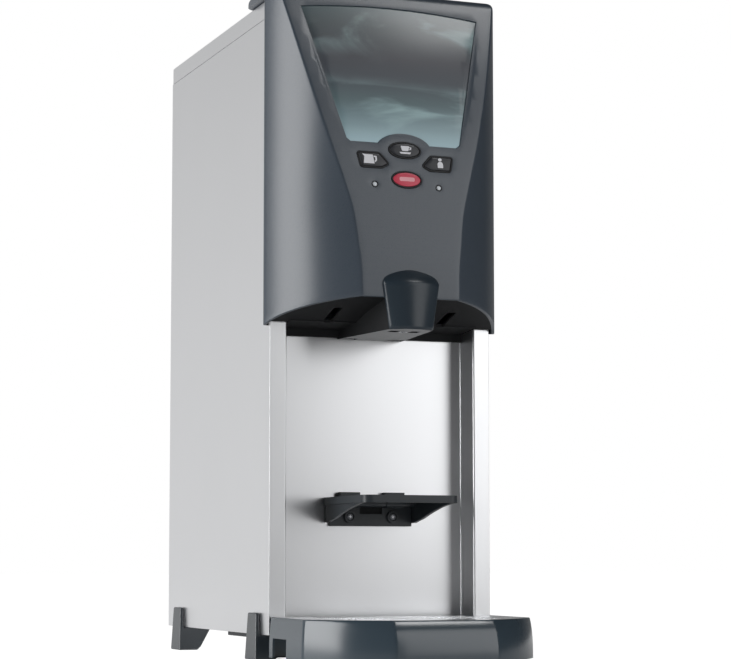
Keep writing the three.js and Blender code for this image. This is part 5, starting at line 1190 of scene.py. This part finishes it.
def shelf():
    # The shelf and its mount take the lighter copy of the dark plastic, painted light.
    dress("cup_shelf", "shelf_plastic", "dark_plastic", bevel=1.2, segments=4)
    mount = dress("shelf_mount", "shelf_plastic", "dark_plastic", segments=3)
    # The pocket in the mount gets painted shade, near black.
    mount.data.materials.append(FINISHES["under_black"])
    for side in mount.data.polygons:
        across, depth, up = side.center / MM
        level = abs(across) < POCKET_HALF and POCKET_SPAN[0] < up < POCKET_SPAN[1]
        if level and POCKET_DEPTHS[0] < depth < POCKET_DEPTHS[1]:
            side.material_index = 1
    # The screws take the darker steel, painted shade, and bright bars as a painted glint.
    for side in ("left", "right"):
        dress("shelf_screw_" + side, "dark_screw", "bright_steel", bevel=0.6, segments=3)
        screw_painted_glint("shelf_screw_" + side)
    dress("shelf_pin", "bright_steel", bevel=0.3)


def tray():
    dress("drip_tray", "tray_plastic", bevel=0.4)
    tray_skin()
    dress("drip_grid", "bright_steel", bevel=0.3)


def fittings():
    for node, finish_name, bevel, segments in (
        ("tray_rail_left", "dark_plastic", 0.4, 2), ("tray_rail_right", "dark_plastic", 0.4, 2),
        ("outlet_nozzle", "bright_steel", 0.3, 2), ("power_switch", "button_black", 0.5, 3),
        ("switch_housing", "rim_black", 0.5, 2), ("cable_gland", "rim_black", 0.4, 2),
        ("inlet_fitting", "brass", 0.4, 2), ("drain_plug", "brass", 0.4, 2),
    ):
        dress(node, finish_name, bevel=bevel, segments=segments)


# Pieces inside keep their solid as it is.
INNER = {
    "display_graphic": "display", "display_backlight": "lamp", "keypad_mat": "mat_rubber",
    "control_board": "board", "water_tank": "tank_steel", "tank_insulation": "foam",
    "tank_lid": "tank_steel", "tank_stand": "cabinet_steel", "heating_element": "bright_steel",
    "level_probe": "bright_steel", "temperature_sensor": "bright_steel",
    "safety_thermostat": "ceramic", "outlet_pipe": "bright_steel",
    "dispense_valve": "dark_plastic", "outlet_hose": "silicone", "inlet_valve": "dark_plastic",
    "inlet_hose": "silicone", "terminal_block": "ceramic", "power_relay": "rim_black",
}


# Studio.


def make_camera():
    data = bpy.data.cameras.new("camera")
    data.sensor_width = SENSOR
    data.lens = CAMERA_LENS
    data.shift_y = CAMERA_SHIFT
    camera = bpy.data.objects.new("camera", data)
    camera.location = part_point(CAMERA_X, -CAMERA_FRONT, CAMERA_HEIGHT)
    camera.rotation_euler = (math.radians(90 + CAMERA_PITCH), 0, math.radians(-CAMERA_YAW))
    bpy.context.scene.collection.objects.link(camera)
    bpy.context.scene.camera = camera


def softbox(name, spot, target, width, height, power):
    data = bpy.data.lights.new(name, "AREA")
    data.shape = "RECTANGLE"
    data.size, data.size_y = width, height
    data.energy = power
    lamp = bpy.data.objects.new(name, data)
    lamp.location = spot
    lamp.rotation_euler = (Vector(target) - Vector(spot)).to_track_quat("-Z", "Y").to_euler()
    lamp.visible_camera = False
    bpy.context.scene.collection.objects.link(lamp)


def make_world():
    """White for the camera, and for reflections darker in front, on the right and overhead."""
    world = bpy.data.worlds.new("studio")
    bpy.context.scene.world = world
    world.use_nodes = True
    nodes, links = world.node_tree.nodes, world.node_tree.links
    nodes.clear()
    place = nodes.new("ShaderNodeTexCoord")
    parts = nodes.new("ShaderNodeSeparateXYZ")
    links.new(place.outputs["Generated"], parts.inputs["Vector"])
    behind = ramped(nodes, links, parts.outputs["Y"], *SKY_BEHIND)
    right = ramped(nodes, links, parts.outputs["X"], *SKY_RIGHT)
    above = ramped(nodes, links, parts.outputs["Z"], *SKY_ABOVE)
    level = product(nodes, links, product(nodes, links, behind, right), above)
    studio = nodes.new("ShaderNodeBackground")
    links.new(level, studio.inputs["Strength"])
    white = nodes.new("ShaderNodeBackground")
    path = nodes.new("ShaderNodeLightPath")
    mix = nodes.new("ShaderNodeMixShader")
    out = nodes.new("ShaderNodeOutputWorld")
    links.new(path.outputs["Is Camera Ray"], mix.inputs["Fac"])
    links.new(studio.outputs["Background"], mix.inputs[1])
    links.new(white.outputs["Background"], mix.inputs[2])
    links.new(mix.outputs["Shader"], out.inputs["Surface"])
    studio.inputs["Color"].default_value = (1, 1, 1, 1)
    white.inputs["Color"].default_value = (1, 1, 1, 1)


def make_floor():
    """A pale floor that keeps the object's shadow."""
    mesh = bpy.data.meshes.new("floor")
    corners = ((-1, -1), (1, -1), (1, 1), (-1, 1))
    points = [(x * FLOOR_REACH, y * FLOOR_REACH, 0) for x, y in corners]
    mesh.from_pydata(points, [], [(0, 1, 2, 3)])
    floor = bpy.data.objects.new("floor", mesh)
    bpy.context.scene.collection.objects.link(floor)
    made = bpy.data.materials.new("pale_floor")
    made.use_nodes = True
    nodes, links = made.node_tree.nodes, made.node_tree.links
    nodes.clear()
    path = nodes.new("ShaderNodeLightPath")
    place = nodes.new("ShaderNodeTexCoord")
    parts = nodes.new("ShaderNodeSeparateXYZ")
    links.new(place.outputs["Object"], parts.inputs["Vector"])
    behind = ramped(nodes, links, parts.outputs["Y"], *FLOOR_SHEEN)
    sheen = product(nodes, links, behind, path.outputs["Is Glossy Ray"])
    apart = nodes.new("ShaderNodeVectorMath")
    apart.operation = "LENGTH"
    links.new(place.outputs["Object"], apart.inputs[0])
    fading = ramped(nodes, links, apart.outputs["Value"], *FLOOR_FADE)
    seen = product(nodes, links, fading, path.outputs["Is Camera Ray"])
    bounce = ramped(nodes, links, path.outputs["Is Diffuse Ray"], *FLOOR_BOUNCE)
    glow = nodes.new("ShaderNodeEmission")
    pale = nodes.new("ShaderNodeBsdfDiffuse")
    pale.inputs["Color"].default_value = (FLOOR_GREY, FLOOR_GREY, FLOOR_GREY, 1)
    total = calculated(nodes, links, "ADD", sheen, seen)
    links.new(calculated(nodes, links, "ADD", total, bounce), glow.inputs["Strength"])
    both = nodes.new("ShaderNodeAddShader")
    out = nodes.new("ShaderNodeOutputMaterial")
    links.new(glow.outputs["Emission"], both.inputs[0])
    links.new(pale.outputs["BSDF"], both.inputs[1])
    links.new(both.outputs["Shader"], out.inputs["Surface"])
    mesh.materials.append(made)


make_camera()
hood()
display()
keypad()
lenses()
nose()
casing()
underside()
shelf()
tray()
fittings()
for inner_node, inner_finish in INNER.items():
    paint(inner_node, inner_finish)
make_world()
make_floor()
for light in LIGHTS:
    softbox(*light)
bpy.context.scene.view_settings.view_transform = "Standard"
